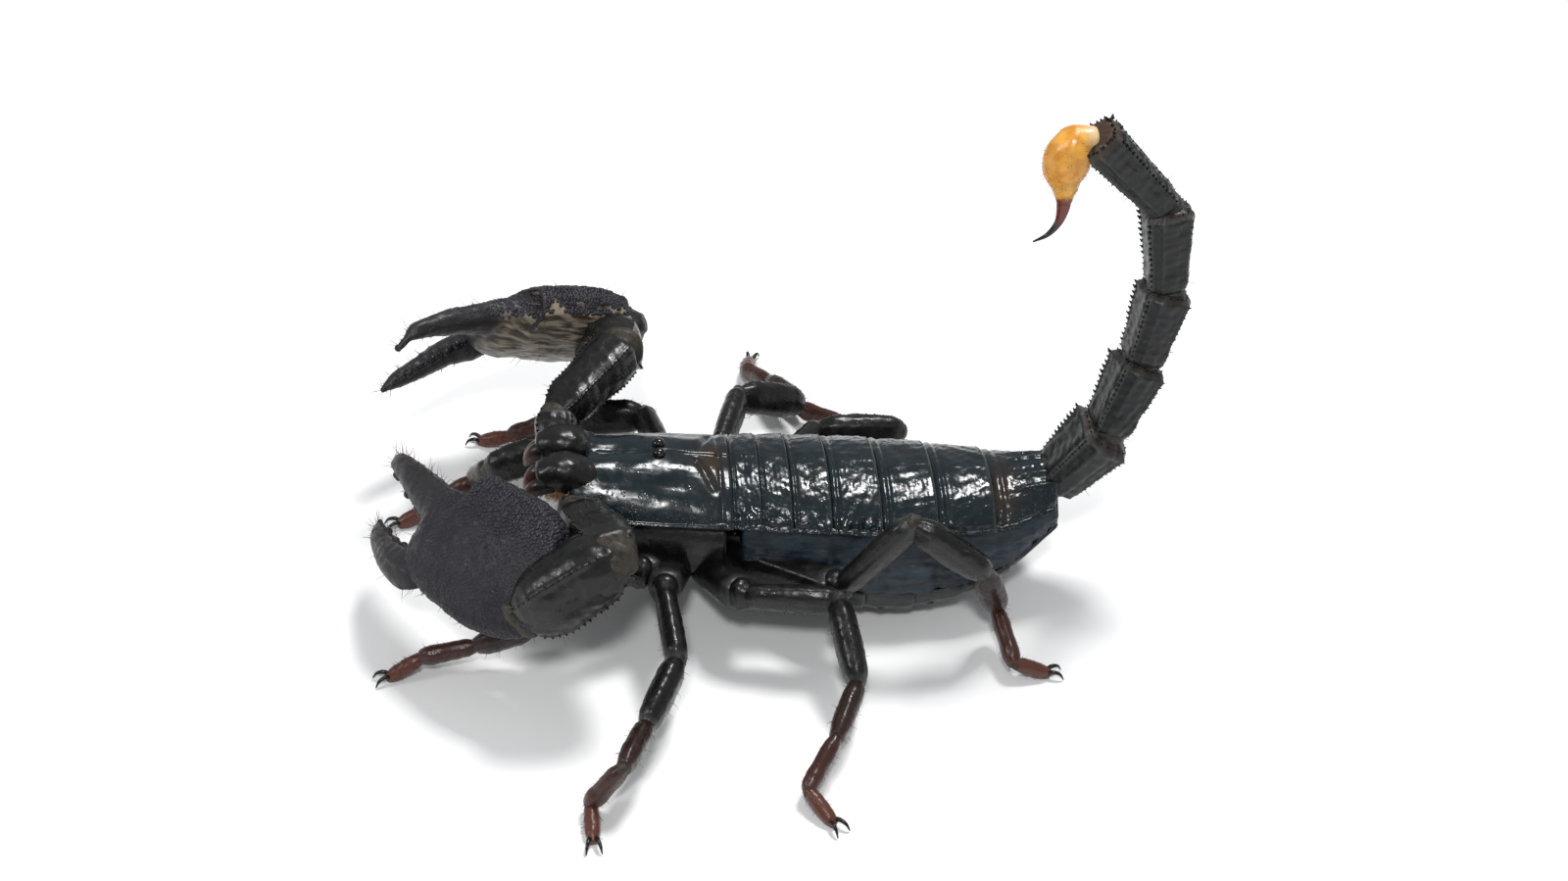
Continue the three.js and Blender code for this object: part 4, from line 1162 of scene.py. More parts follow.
def build_combs():
    """The pair of toothed combs under the front of the belly."""
    for name, side in SIDES.items():
        shape = Shape()
        start = np.array([3.6, side * 1.4, 3.7])
        way = np.array([math.cos(COMB_SPREAD), side * math.sin(COMB_SPREAD), 0])
        aside = np.array([way[1], -way[0], 0])
        spine = [[*(start + way * d), w, 0.35]
                 for d, w in ((0, 0.6), (2, 0.95), (5, 0.9), (7.8, 0.4))]
        shape.tube(tube(spine, UP, 24, 20))
        for k in range(COMB_TEETH):
            root = start + way * (0.7 + COMB_SPACING * k)
            tip = root + aside * COMB_TOOTH
            tooth = [[*root, 0.2, 0.2], [*((root + tip) / 2), 0.22, 0.2], [*tip, 0.16, 0.14]]
            shape.tube(tube(tooth, UP, 10, 8))
        make_piece("comb_" + name, shape, finish("joint"), ["pecten_" + name])


# ---- Tail ----

def tail_joints():
    """The joints of the tail, from its root to the telson, and the way each segment runs."""
    joints = [np.array(TAIL_ROOT, float)]
    ways = [aim(part["heading"], part["pitch"]) for part in TAIL]
    for part, way in zip(TAIL, ways):
        joints.append(joints[-1] + way * part["length"])
    return joints, ways


KEEL_ANGLES = (45, 135, 12, 168, 225, 315, 258, 282)
KEEL_HEIGHTS = (0.13, 0.13, 0.05, 0.05, 0.08, 0.08, 0.05, 0.05)


def tail_keels(angle, share):
    """Relief round a tail segment: eight keels and hollow panels between them."""
    grow = 0.4 + 0.6 * step(share, 0.0, 0.7)
    total = 0.955 - 0.13 * bell(angle - 90, 24) - 0.05 * bell(angle - 198, 12)
    total = total - 0.05 * bell(angle - 342, 12)
    for centre, height in zip(KEEL_ANGLES, KEEL_HEIGHTS):
        total = total + grow * height * bell(angle - centre, 5.5)
    return total


def keel_mark(angle, share):
    """Where the keels of a tail segment are, from 0 to 1."""
    total = 0
    for centre, height in zip(KEEL_ANGLES, KEEL_HEIGHTS):
        total = total + min(height * 9, 1) * bell(angle - centre, 6.5)
    return np.clip(total + 0.6 * bell(share - 0.97, 0.04), 0, 1)


def tail_segment(index):
    """One tail segment's surface."""
    joints, ways = tail_joints()
    part = TAIL[index]
    back = unit(np.cross(ways[index], (0, 1, 0)))
    girth = ((0.0, 0.7), (0.07, 0.85), (0.4, 0.95), (0.84, 1.05), (0.96, 1.06), (1.0, 0.92))
    if index == 0:
        girth = ((-0.12, 0.86), (0.07, 0.93), (0.4, 0.97)) + girth[3:]
    rows = between(joints[index], joints[index + 1], part["half"], girth)
    surface = tube(rows, back, 108, 72, 2.7, tail_keels, caps=(0.15, 0.2))
    return surface.puffed(0.05 * ripple(surface.grid, 1.3, 60 + index))


def build_tail():
    """Five keeled tail segments with saw teeth along their keels, and the skin between them."""
    joints, ways = tail_joints()
    teeth = Studs()
    for index in range(len(TAIL)):
        surface = tail_segment(index)
        marks = keel_mark(surface.angle[None, :], surface.share[:, None])
        rim = step(surface.share, 0.93, 1)[:, None] * (0.7 if index == 4 else 0.25)
        shape = Shape().tube(surface, keel=marks, warm=rim + 0 * marks)
        make_piece("tail_segment_%d" % (index + 1), shape, finish("tail"),
                   ["metasoma_%d" % (index + 1)])
        rows = ((45, 13, 0.9), (135, 13, 0.9), (225, 12, 0.45), (315, 12, 0.45))
        if index == 4:
            rows = ((45, 16, 0.45), (135, 16, 0.45), (225, 17, 0.95), (315, 17, 0.95),
                    (270, 15, 0.6))
        for angle, count, size in rows:
            along = np.linspace(0.1, 0.94, count)
            teeth.add(surface, 0.06 + along * 0.88, angle / 360,
                      size=size * (0.6 + 0.6 * along), lean=0.45 * ways[index])
        around = np.arange(0, 360, 15)
        teeth.add(surface, np.full(len(around), 0.955), around / 360,
                  size=0.5 if index < 4 else 0.85, lean=0.9 * ways[index])
    teeth.make("tail_teeth", finish("tail"), "shell", width=0.24, height=0.34, pointed=True)
    folds = Shape()
    for index in range(5):
        before = ways[index - 1] if index else unit(ways[0] + np.array([1.6, 0, 0]))
        middle = unit(before + ways[index])
        girth = ((-1.3, 0.7), (-0.5, 0.8), (0, 0.78), (0.5, 0.8), (1.3, 0.7))
        folds.tube(sleeve(joints[index], middle, TAIL[index]["half"], girth,
                          unit(np.cross(middle, (0, 1, 0)))))
    make_piece("tail_folds", folds, finish("joint"))


def telson_surfaces():
    """The poison bulb and the sting."""
    tip = tail_joints()[0][-1]
    bulb = ((-0.2, 0, 0, 1.25, 1.2), (-1.0, 0, -0.1, 1.5, 1.5), (-1.9, 0, -0.5, 2.15, 2.15),
            (-2.9, 0, -1.9, 2.6, 2.65), (-3.3, 0, -3.9, 2.6, 2.65), (-3.1, 0, -6, 1.75, 1.75),
            (-2.95, 0, -7.6, 1.12, 1.12), (-2.95, 0, -8.3, 0.92, 0.92))
    spine = ((-2.95, 0, -7.8, 0.95, 0.95), (-2.95, 0, -9.4, 0.76, 0.76),
             (-3.3, 0, -11.2, 0.5, 0.48), (-4.4, 0, -12.8, 0.3, 0.29), (-6, 0, -13.7, 0.1, 0.1))
    lift = np.array([*tip, 0, 0])
    bulb, spine = [np.array(rows, float) + lift for rows in (bulb, spine)]
    back = np.array([-1.0, 0, 0])
    bulb = tube(bulb, back, 72, 64, 2.0, caps=(0.3, 0.1))
    spine = tube(spine, back, 36, 56, 2.0, caps=(0.1, 0.3))
    return bulb.puffed(0.05 * ripple(bulb.grid, 1.7, 71)), spine


def build_telson():
    """The golden bulb and its dark sting."""
    bulb, spine = telson_surfaces()
    share, angle = bulb.share[:, None], bulb.angle[None, :]
    # Painted shade on one side of the bulb, round its middle.
    shade = 0.75 * bell(((angle - 250 + 180) % 360) - 180, 55) * bell(share - 0.5, 0.34)
    pale = 0.8 * (1 - step(share, 0.02, 0.16)) + 0 * angle
    shape = Shape().tube(bulb, shade=shade, pale=pale, tip=step(share, 0.86, 0.97) + 0 * angle)
    make_piece("poison_bulb", shape, finish("amber"), ["telson_vesicle"])
    shape = Shape().tube(spine, tip=step(spine.share, 0.15, 0.8)[:, None])
    make_piece("sting", shape, finish("sting"), ["aculeus"])
    rng = np.random.default_rng(72)
    along, turn = bulb.scatter(0.9, rng)
    keep = (along > 0.2) & (along < 0.8) & (np.abs(turn - 0.25) > 0.12)
    beads = Studs()
    beads.add(bulb, along, turn, sunk=0.05, keep=keep)
    beads.make("bulb_beads", finish("amber"), "amber", width=0.17, height=0.1)


# ---- Legs ----

def ridges(angle, share):
    """Relief round a leg segment: an upper and a lower keel and two side lines."""
    keels = sum(bell(angle - place, 9) for place in (90, 270))
    lines = sum(bell(angle - place, 8) for place in (30, 150, 210, 330))
    return 0.97 + 0.05 * keels + 0.03 * lines


def leg_surfaces(name):
    """The five segments of a leg, from femur to tarsus."""
    joints = leg_joints(name)
    up = unit(np.array([0, 0.35 * SIDES[name.split("_")[0]], 1.0]))
    shapes = (
        ("femur", ((0.04, 0.7), (0.12, 0.88), (0.3, 0.96), (0.8, 1.02), (0.94, 0.96), (1.0, 0.76))),
        ("patella", ((0.02, 0.62), (0.14, 0.92), (0.4, 1.02), (0.75, 1), (0.93, 0.86), (1, 0.66))),
        ("tibia", ((0.02, 0.66), (0.14, 0.9), (0.5, 1), (0.85, 0.93), (1, 0.72))),
        ("basitarsus", ((0.02, 0.7), (0.15, 0.9), (0.6, 0.98), (0.9, 1), (1, 0.8))),
        ("tarsus", ((0.0, 0.74), (0.2, 0.95), (0.55, 1.02), (0.88, 0.86), (1, 0.62))),
    )
    made = {}
    for index, (part, girth) in enumerate(shapes):
        rows = between(joints[index], joints[index + 1], LEG_GIRTH[part], girth)
        surface = tube(rows, up, 48, 40, 2.35, ridges, caps=(0.4, 0.4))
        made[part] = surface.puffed(0.035 * ripple(surface.grid, 1.2, 80 + index))
    return made, joints, up


def build_legs():
    """Eight legs: femur, patella and a lower leg that ends in a clawed foot."""
    teeth, folds = Studs(), Shape()
    for name in LEGS:
        made, joints, up = leg_surfaces(name)
        for part in ("femur", "patella"):
            surface = made[part]
            line = 0.5 * (ridges(surface.angle[None, :], 0) - 0.97) / 0.05
            ends = step(surface.share, 0.93, 1)[:, None]
            shape = Shape().tube(surface, keel=np.clip(0.3 * line + 0.7 * ends, 0, 1))
            make_piece("leg_%s_%s" % (part, name), shape, finish("limb"),
                       ["%s_%s" % (part, name)])
        shape = Shape()
        for part, tip in (("tibia", 0.08), ("basitarsus", 0.35), ("tarsus", 0.85)):
            surface = made[part]
            shape.tube(surface, tip=tip + 0.15 * surface.share[:, None])
        toe, heel = joints[-1], joints[-2]
        ahead = unit((toe - heel) * np.array([1, 1, 0]))
        aside = np.array([-ahead[1], ahead[0], 0])
        for turn in (1, -1):
            hook = [[*(toe + ahead * d + aside * turn * o + np.array([0, 0, z])), w, w]
                    for d, o, z, w in ((-0.4, 0.3, 0.3, 0.3), (0.5, 0.55, 0.75, 0.26),
                                       (1.2, 0.75, 0.55, 0.19), (1.7, 0.9, -0.2, 0.07))]
            shape.tube(tube(hook, up, 14, 20, 2), claw=1.0)
        make_piece("leg_lower_" + name, shape, finish("limb"), ["lower_leg_" + name],
                   ground=True)
        for part, angles, count in (("femur", (250, 270, 290), 14), ("patella", (90, 270), 10)):
            surface = made[part]
            for angle in angles:
                teeth.add(surface, np.linspace(0.12, 0.9, count), angle / 360, size=0.7)
        for index, part in enumerate(("patella", "tibia", "basitarsus", "tarsus"), 1):
            before, after = [unit(joints[k + 1] - joints[k]) for k in (index - 1, index)]
            girth = ((-0.7, 0.55), (0, 0.68), (0.7, 0.55))
            folds.tube(sleeve(joints[index], unit(before + after), LEG_GIRTH[part], girth, up,
                              24, 12), warm=0.2 * (index > 2))
    make_piece("leg_folds", folds, finish("joint"))
    teeth.make("leg_teeth", finish("limb"), "shell", width=0.14, height=0.16, pointed=True)


# ---- Arms and claws ----

class Arm:
    """Joints, directions and surfaces of one clawed arm."""

    def __init__(self, name):
        plan = ARMS[name]
        self.side = SIDES[name]
        self.opened = plan["opened"]
        self.root = np.array(plan["coxa"], float)
        self.shoulder = np.array(plan["shoulder"], float)
        self.ways = [aim(*plan[part][:2]) for part in ("femur", "patella", "claw")]
        self.elbow = self.shoulder + self.ways[0] * plan["femur"][2]
        self.wrist = self.elbow + self.ways[1] * plan["patella"][2]
        along = self.ways[2]
        level = unit(np.cross(UP, along))
        lean = math.radians(plan["lean"])
        self.edge = np.cross(along, level) * math.cos(lean) + self.side * level * math.sin(lean)
        self.face = np.cross(self.edge, along) * -self.side

    def place(self, stations):
        """Claw stations moved from the claw's own axes into the animal's."""
        rows = np.array(stations, float)
        at = (self.wrist + rows[:, :1] * self.ways[2] + rows[:, 1:2] * self.face
              + rows[:, 2:3] * self.edge)
        return np.hstack([at, rows[:, 3:]])

    def local(self, points):
        """Places along the palm, out of its rough face and towards the fixed finger."""
        away = points - self.wrist
        return away @ self.ways[2], away @ self.face, away @ self.edge

    def facing(self, angle):
        """Angles round the claw measured from its rough face towards the fixed finger."""
        return angle if self.side < 0 else (180 - angle) % 360

    def turn(self, theta):
        """The share round the claw of an angle measured from its rough face."""
        return (theta if self.side < 0 else 180 - theta) % 360 / 360

    def palm(self):
        """The palm and the fixed finger."""
        def relief(angle, share):
            theta = self.facing(angle)
            palm = 1 - step(share, 0.5, 0.68)
            keel = bell(theta - 62, 7) + bell(theta - 118, 8) + 0.8 * bell(theta - 300, 9)
            keel = keel + 0.8 * bell(theta - 232, 9)
            return 0.975 + palm * (0.05 * keel - 0.05 * bell(theta - 175, 30))

        surface = tube(self.place(PALM), self.edge, 132, 110, 2.25, relief, caps=(0.25, 0.5))
        rough = 0.07 * ripple(surface.grid, 1.6, 90) + 0.1 * ripple(surface.grid, 4, 91)
        return surface.puffed(rough)

    def finger(self):
        """The movable finger."""
        def relief(angle, share):
            theta = self.facing(angle)
            return 0.97 + 0.05 * sum(bell(theta - place, 10) for place in (60, 120, 270, 0))

        rows = np.array(MOVABLE, float)
        turn = math.radians(self.opened)
        x, z = rows[:, 0] - rows[0, 0], rows[:, 2] - rows[0, 2]
        rows[:, 0] = rows[0, 0] + x * math.cos(turn) + z * math.sin(turn)
        rows[:, 2] = rows[0, 2] - x * math.sin(turn) + z * math.cos(turn)
        surface = tube(self.place(rows), self.edge, 72, 64, 2.2, relief, caps=(0.35, 0.5))
        return surface.puffed(0.06 * ripple(surface.grid, 1.5, 92))

    def limbs(self):
        """Trochanter, femur and patella."""
        def keels(angle, share):
            return 0.96 + 0.07 * bell((angle % 90) - 45, 6) - 0.02 * bell(angle % 90, 15)

        hip = between(self.root, self.shoulder, (2.6, 2.4),
                      ((-0.3, 0.8), (0.2, 1), (0.8, 1.05), (0.97, 0.95)))
        thigh = between(self.shoulder, self.elbow, (3.05, 2.8),
                        ((0.0, 0.66), (0.1, 0.86), (0.45, 0.98), (0.86, 1.08), (0.96, 1.0),
                         (1.0, 0.8)))
        shin = between(self.elbow, self.wrist, ARM_PATELLA_HALF,
                       ((-0.02, 0.62), (0.1, 0.86), (0.42, 1), (0.76, 1), (0.94, 0.74),
                        (1.0, 0.55)))
        made = dict(
            trochanter=tube(hip, UP, 72, 30, 2.6, keels, caps=(0.3, 0.3)),
            femur=tube(thigh, UP, 84, 56, 2.9, keels, caps=(0.3, 0.25)),
            patella=tube(shin, UP, 96, 60, 2.5, keels, caps=(0.4, 0.3)))
        return {key: s.puffed(0.05 * ripple(s.grid, 1.7, 95)) for key, s in made.items()}


def build_arms():
    """Trochanter, femur and patella of both arms, with toothed keels and soft joints."""
    teeth, folds = Studs(), Shape()
    for name in ARMS:
        arm = Arm(name)
        for part, surface in arm.limbs().items():
            ends = step(surface.share, 0.94, 1)[:, None] * 0.9
            keel = 0.25 * bell((surface.angle[None, :] % 90) - 45, 7)
            shape = Shape().tube(surface, keel=np.clip(keel + ends, 0, 1))
            make_piece("arm_%s_%s" % (part, name), shape, finish("limb"),
                       ["pedipalp_%s_%s" % (part, name)])
            count = dict(trochanter=9, femur=20, patella=16)[part]
            for angle in (45, 135, 225, 315):
                teeth.add(surface, np.linspace(0.12, 0.92, count), angle / 360, size=0.95,
                          sunk=0.05)
        bends = ((arm.elbow, arm.ways[0], arm.ways[1], (2.9, 2.9)),
                 (arm.shoulder, unit(arm.shoulder - arm.root), arm.ways[0], (2.1, 2.0)),
                 (arm.wrist, arm.ways[1], arm.ways[1], (2.6, 3.2)))
        for joint, before, after, half in bends:
            girth = ((-1.2, 0.75), (-0.4, 0.98), (0.4, 0.98), (1.2, 0.75))
            folds.tube(sleeve(joint, unit(before + after), half, girth), warm=0.15)
    make_piece("arm_folds", folds, finish("joint"))
    teeth.make("arm_teeth", finish("limb"), "shell", width=0.22, height=0.2, pointed=True)


def build_claws():
    """Both claws: beaded palms, smooth inner faces and toothed fingers."""
    for name in ARMS:
        arm = Arm(name)
        palm, finger = arm.palm(), arm.finger()
        for label, surface, node in (("claw_palm_", palm, "chela_"),
                                     ("claw_finger_", finger, "movable_finger_")):
            run, _, rise = arm.local(surface.grid)
            toward = surface.normal @ arm.face
            onpalm = (1 - step(run, 15.5, 18.5)) * (1 if surface is palm else 0)
            inner = step(-toward, 0.1, 0.4) * onpalm * step(run, -3, 0)
            tip = step(run, 15, 19)
            shape = Shape().tube(surface, run=run, rise=rise, inner=inner, tip=tip,
                                 rough=np.clip(1 - inner, 0, 1) * (1 - 0.6 * tip))
            make_piece(label + name, shape, finish("claw"), [node + name])
        rng = np.random.default_rng(100)
        along, turn = palm.scatter(bpy.context.scene.scorpion_sizes.bead_spacing / MM, rng)
        place, way = palm.at(along, turn)
        run, _, rise = arm.local(place)
        toward = way @ arm.face
        keep = (toward > -0.35) & (run < 25) & (along > 0.06)
        keep &= rng.uniform(size=len(along)) < 1 - 0.45 * step(run, 15, 20)
        size = (0.85 + 0.5 * step(rise, 5, 9)) * (1 - 0.35 * step(run, 15, 20))
        beads, teeth = Studs(), Studs()
        beads.add(palm, along, turn, size, sunk=0.03, keep=keep)
        beads.make("claw_beads_" + name, finish("claw"), "claw_shell", width=0.2, height=0.13)
        for surface, theta, low, high, count in (
                (palm, 270, 0.6, 0.985, 26), (palm, 262, 0.62, 0.97, 16),
                (finger, 90, 0.2, 0.985, 26), (finger, 98, 0.25, 0.96, 16)):
            share = np.linspace(low, high, count)
            big = 1 + 1.1 * (np.arange(count) % 7 == 3)
            teeth.add(surface, share, arm.turn(theta), big * (1 - 0.45 * (share - low)))
        teeth.make("claw_teeth_" + name, finish("claw"), "claw_shell", width=0.3, height=0.3)


# ---- Coat ----

def build_coat():
    """Sparse stiff hairs on claws, arms, legs and tail."""
    sizes = bpy.context.scene.scorpion_sizes
    length, thick = sizes.hair_length / MM, sizes.hair_thickness / MM
    rng = np.random.default_rng(200)

    def random_spots(count, low=0.06, high=0.97):
        return rng.uniform(low, high, count), rng.uniform(0, 1, count)

    coat = Coat(2)
    for name in ARMS:
        arm = Arm(name)
        for surface, count in ((arm.palm(), 120), (arm.finger(), 60)):
            coat.grow(surface, *random_spots(count), length, rng, lean=0.25 * arm.ways[2],
                      thick=thick)
            share = rng.uniform(0.5, 0.98, 26)
            turn = np.array([arm.turn(t) for t in rng.normal(80, 22, 26)])
            coat.grow(surface, share, turn, 1.5 * length, rng, lean=0.3 * arm.ways[2],
                      thick=thick, same_tile=True)
    coat.make("hair_claws", finish("hair"), "claw_shell")
    coat = Coat(3)
    for name in ARMS:
        arm = Arm(name)
        for surface in arm.limbs().values():
            coat.grow(surface, *random_spots(34), 0.9 * length, rng, thick=thick)
    coat.make("hair_arms", finish("hair"), "shell")
    coat = Coat(7)
    for name in LEGS:
        made, joints, _ = leg_surfaces(name)
        counts = dict(femur=16, patella=22, tibia=26, basitarsus=34, tarsus=46)
        for index, (part, surface) in enumerate(made.items()):
            reach = length * (0.75 if index < 3 else 0.5)
            lean = 0.5 * unit(joints[index + 1] - joints[index])
            coat.grow(surface, *random_spots(counts[part]), reach, rng, lean, 0.9 * thick)
    coat.make("hair_legs", finish("hair"), "shell")
    coat = Coat(3)
    ways = tail_joints()[1]
    for index in range(5):
        surface = tail_segment(index)
        coat.grow(surface, *random_spots(26), 0.8 * length, rng, 0.3 * ways[index], thick)
    bulb = telson_surfaces()[0]
    coat.grow(bulb, *random_spots(60, 0.15, 0.85), 0.7 * length, rng, (0, 0, -0.2), 0.8 * thick)
    coat.make("hair_tail", finish("hair"), "shell")


# ---- Stage ----

CAMERA_AT = (-17.73, -206.77, 183.63)
CAMERA_AZIMUTH, CAMERA_ELEVATION, CAMERA_ROLL = -6.68, 37.77, 2.10
CAMERA_LENS, CAMERA_SENSOR = 49.5, 36
CAMERA_CLIP = (0.01, 20)
ROOM_TINT = (0.95, 0.98, 1.0)
# Name, place, target and size of each light in metres, and the setting that holds its power.
LIGHTS = (
    ("light_key", (0.18, 0.22, 0.75), (0, 0, 0.02), 0.16, "key_power"),
    ("light_front", (-0.06, -0.40, 0.52), (0, 0, 0.015), 0.07, "front_power"),
    ("light_side", (-0.5, -0.1, 0.35), (0, 0, 0.02), 0.12, "side_power"),
)


def add_light(name, place, target, size, power):
    """A square soft light that looks at a target."""
    lamp = bpy.data.lights.new(name, "AREA")
    lamp.size = size
    lamp.energy = power
    item = add_object(name, lamp)
    item.location = place
    item.rotation_mode = "QUATERNION"
    item.rotation_quaternion = (Vector(target) - Vector(place)).to_track_quat("-Z", "Y")


def build_stage():
    """Pale floor, soft lights and the camera."""
    look = bpy.context.scene.scorpion_stage
    half = look.floor_size / 2
    mesh = bpy.data.meshes.new("stage_floor")
    mesh.from_pydata([(-half, -half, 0), (half, -half, 0), (half, half, 0), (-half, half, 0)],
                     [], [(0, 1, 2, 3)])
    mesh.materials.append(finish("floor"))
    floor = add_object("stage_floor", mesh)
    world = bpy.data.worlds.new("Soft room")
    world.use_nodes = True
    background = world.node_tree.nodes["Background"]
    background.inputs["Color"].default_value = (*ROOM_TINT, 1)
    background.inputs["Strength"].default_value = look.room_light
    bpy.context.scene.world = world
    for name, place, target, size, power in LIGHTS:
        add_light(name, place, target, size, getattr(look, power))
    azimuth, elevation, roll = [
        math.radians(v) for v in (CAMERA_AZIMUTH, CAMERA_ELEVATION, CAMERA_ROLL)]
    forward = Vector((-math.sin(azimuth) * math.cos(elevation),
                      math.cos(azimuth) * math.cos(elevation), -math.sin(elevation)))
    right = Vector((math.cos(azimuth), math.sin(azimuth), 0))
    up = right.cross(forward)
    across = math.cos(roll) * right + math.sin(roll) * up
    over = math.cos(roll) * up - math.sin(roll) * right
    camera = add_object("camera", bpy.data.cameras.new("camera"))
    camera.data.lens = CAMERA_LENS
    camera.data.sensor_width = CAMERA_SENSOR
    camera.data.clip_start, camera.data.clip_end = CAMERA_CLIP
    turn = Matrix((across, over, -forward)).transposed().to_4x4()
    camera.matrix_world = Matrix.Translation(
        Vector(((np.array(CAMERA_AT) + SHIFT) * MM).tolist())) @ turn
    bpy.context.scene.camera = camera
    bpy.context.scene.view_settings.view_transform = "Standard"


# ---- Settings ----

def colour_setting(name, description, value):
    """A colour that a user can change."""
    return bpy.props.FloatVectorProperty(
        name=name, description=description, subtype="COLOR", size=3, min=0, max=1, default=value)


def length_setting(name, description, value):
    """A length that a user can change."""
    return bpy.props.FloatProperty(
        name=name, description=description, default=value, min=0, precision=5,
        subtype="DISTANCE", unit="LENGTH")


def power_setting(name, description, value):
    """The power of a light that a user can change."""
    return bpy.props.FloatProperty(
        name=name, description=description, default=value, min=0, unit="POWER")


class ScorpionSizes(bpy.types.PropertyGroup):
    """Sizes of the fine parts."""
    bead_spacing: length_setting("Bead spacing", "Distance between the claws' beads", 0.00043)
    hair_length: length_setting("Hair length", "Usual length of a hair", 0.0017)
    hair_thickness: length_setting(
        "Hair thickness", "Half thickness of a hair at its root", 0.00004)


class ScorpionColours(bpy.types.PropertyGroup):
    """Colours of the horn, skin and hair."""
    shell: colour_setting("Back", "Blue-black horn of the back", (0.004, 0.009, 0.012))
    shell_light: colour_setting(
        "Back, lighter", "Lighter clouds on the back", (0.007, 0.014, 0.018))
    shell_warm: colour_setting("Back, brown", "Brown patches on the back", (0.03, 0.018, 0.011))
    pale_edge: colour_setting("Plate edge", "Thin rear edges of the plates", (0.06, 0.065, 0.055))
    claw: colour_setting("Claw", "Purplish-black claw horn", (0.009, 0.008, 0.013))
    claw_light: colour_setting(
        "Claw, lighter", "Lighter clouds on the claws", (0.018, 0.016, 0.023))
    finger: colour_setting("Finger", "Greyer horn of the fingers", (0.02, 0.018, 0.02))
    inner_pale: colour_setting("Inner face", "Pale ground of the inner face", (0.36, 0.3, 0.22))
    inner_dark: colour_setting("Inner streaks", "Streaks of the inner face", (0.04, 0.03, 0.022))
    limb: colour_setting("Limbs", "Brownish-black horn of the limbs", (0.004, 0.004, 0.004))
    limb_light: colour_setting(
        "Limbs, lighter", "Lighter clouds on the limbs", (0.009, 0.008, 0.008))
    foot: colour_setting("Feet", "Reddish brown of the feet", (0.09, 0.028, 0.018))
    tail: colour_setting("Tail", "Dark panels of the tail", (0.005, 0.006, 0.007))
    keel: colour_setting("Keels", "Greyish keels of the tail", (0.06, 0.065, 0.06))
    skin: colour_setting("Flank skin", "Soft skin between the plates", (0.026, 0.042, 0.058))
    # Painted shade in the creases of the flank skin.
    skin_crease_shade: colour_setting("Flank skin, dark", "Creases of the skin", (0.008, 0.014, 0.02))
    sternite: colour_setting("Belly plates", "Brownish belly plates", (0.012, 0.012, 0.012))
    sternite_light: colour_setting("Belly lines", "Fine lines of the belly", (0.026, 0.027, 0.028))
    joint: colour_setting("Joints", "Greenish-brown skin of the joints", (0.045, 0.042, 0.032))
    # Painted shade in the creases of the joints.
    joint_crease_shade: colour_setting("Joints, dark", "Creases of the joints", (0.015, 0.014, 0.011))
    joint_warm: colour_setting("Joints, warm", "Reddish skin at the joints", (0.06, 0.03, 0.018))
    amber: colour_setting("Bulb", "Golden amber of the bulb", (0.55, 0.22, 0.02))
    amber_light: colour_setting("Bulb, lighter", "Lighter clouds of the bulb", (0.75, 0.38, 0.06))
    # Painted shade on one side of the bulb.
    amber_painted_shade: colour_setting(
        "Bulb, shaded", "Orange-brown shade of the bulb", (0.33, 0.09, 0.01))
    amber_pale: colour_setting("Bulb neck", "Cream neck of the bulb", (0.7, 0.55, 0.33))
    sting: colour_setting("Sting", "Dark red of the sting", (0.13, 0.018, 0.01))
    sting_tip: colour_setting("Sting point", "Black point of the sting", (0.008, 0.004, 0.004))
    eye: colour_setting("Eyes", "Black of the eyes and the breathing slits", (0.002, 0.002, 0.003))
    eye_light: colour_setting("Eyes, lighter", "Browner clouds of the eyes", (0.006, 0.005, 0.004))
    hair: colour_setting("Hair", "Dark hair", (0.05, 0.035, 0.025))
    hair_light: colour_setting("Hair, lighter", "Lighter hair", (0.14, 0.1, 0.07))
    gold: colour_setting("Mouth brush", "Golden hair of the mouth parts", (0.5, 0.24, 0.07))
    floor: colour_setting("Floor", "Pale floor", (0.86, 0.86, 0.86))


class ScorpionStage(bpy.types.PropertyGroup):
    """Floor and light."""
    floor_size: length_setting("Floor size", "Length of the floor's side", 6.0)
    room_light: bpy.props.FloatProperty(
        name="Room light", description="Strength of the even light", default=0.38, min=0)
    key_power: power_setting("Key light", "Power of the broad light above", 4.6)
    front_power: power_setting("Front light", "Power of the small light in front", 1.6)
    side_power: power_setting("Side light", "Power of the low light at the head", 0.7)


# ---- Operators ----

class SCORPION_OT_stage(bpy.types.Operator):
    """Make the floor, the lights and the camera"""
    bl_idname = "scorpion.stage"
    bl_label = "Stage"

    def execute(self, context):
        build_stage()
        return {"FINISHED"}


class SCORPION_OT_carapace(bpy.types.Operator):
    """Make the carapace over the head"""
    bl_idname = "scorpion.carapace"
    bl_label = "Carapace"

    def execute(self, context):
        build_carapace()
        return {"FINISHED"}


class SCORPION_OT_eyes(bpy.types.Operator):
    """Make the main eyes and the corner eyes"""
    bl_idname = "scorpion.eyes"
    bl_label = "Eyes"

    def execute(self, context):
        build_eyes()
        return {"FINISHED"}


class SCORPION_OT_back_plates(bpy.types.Operator):
    """Make the seven plates of the back"""
    bl_idname = "scorpion.back_plates"
    bl_label = "Back plates"

    def execute(self, context):
        build_tergites()
        return {"FINISHED"}


class SCORPION_OT_flanks(bpy.types.Operator):
    """Make the soft skin of the flanks"""
    bl_idname = "scorpion.flanks"
    bl_label = "Flank skin"

    def execute(self, context):
        build_flanks()
        return {"FINISHED"}


class SCORPION_OT_belly_plates(bpy.types.Operator):
    """Make the plates of the belly and their breathing slits"""
    bl_idname = "scorpion.belly_plates"
    bl_label = "Belly plates"

    def execute(self, context):
        build_belly_plates()
        return {"FINISHED"}


class SCORPION_OT_underside(bpy.types.Operator):
    """Make the bases of the limbs and the breastplate"""
    bl_idname = "scorpion.underside"
    bl_label = "Limb bases"

    def execute(self, context):
        build_underside()
        return {"FINISHED"}


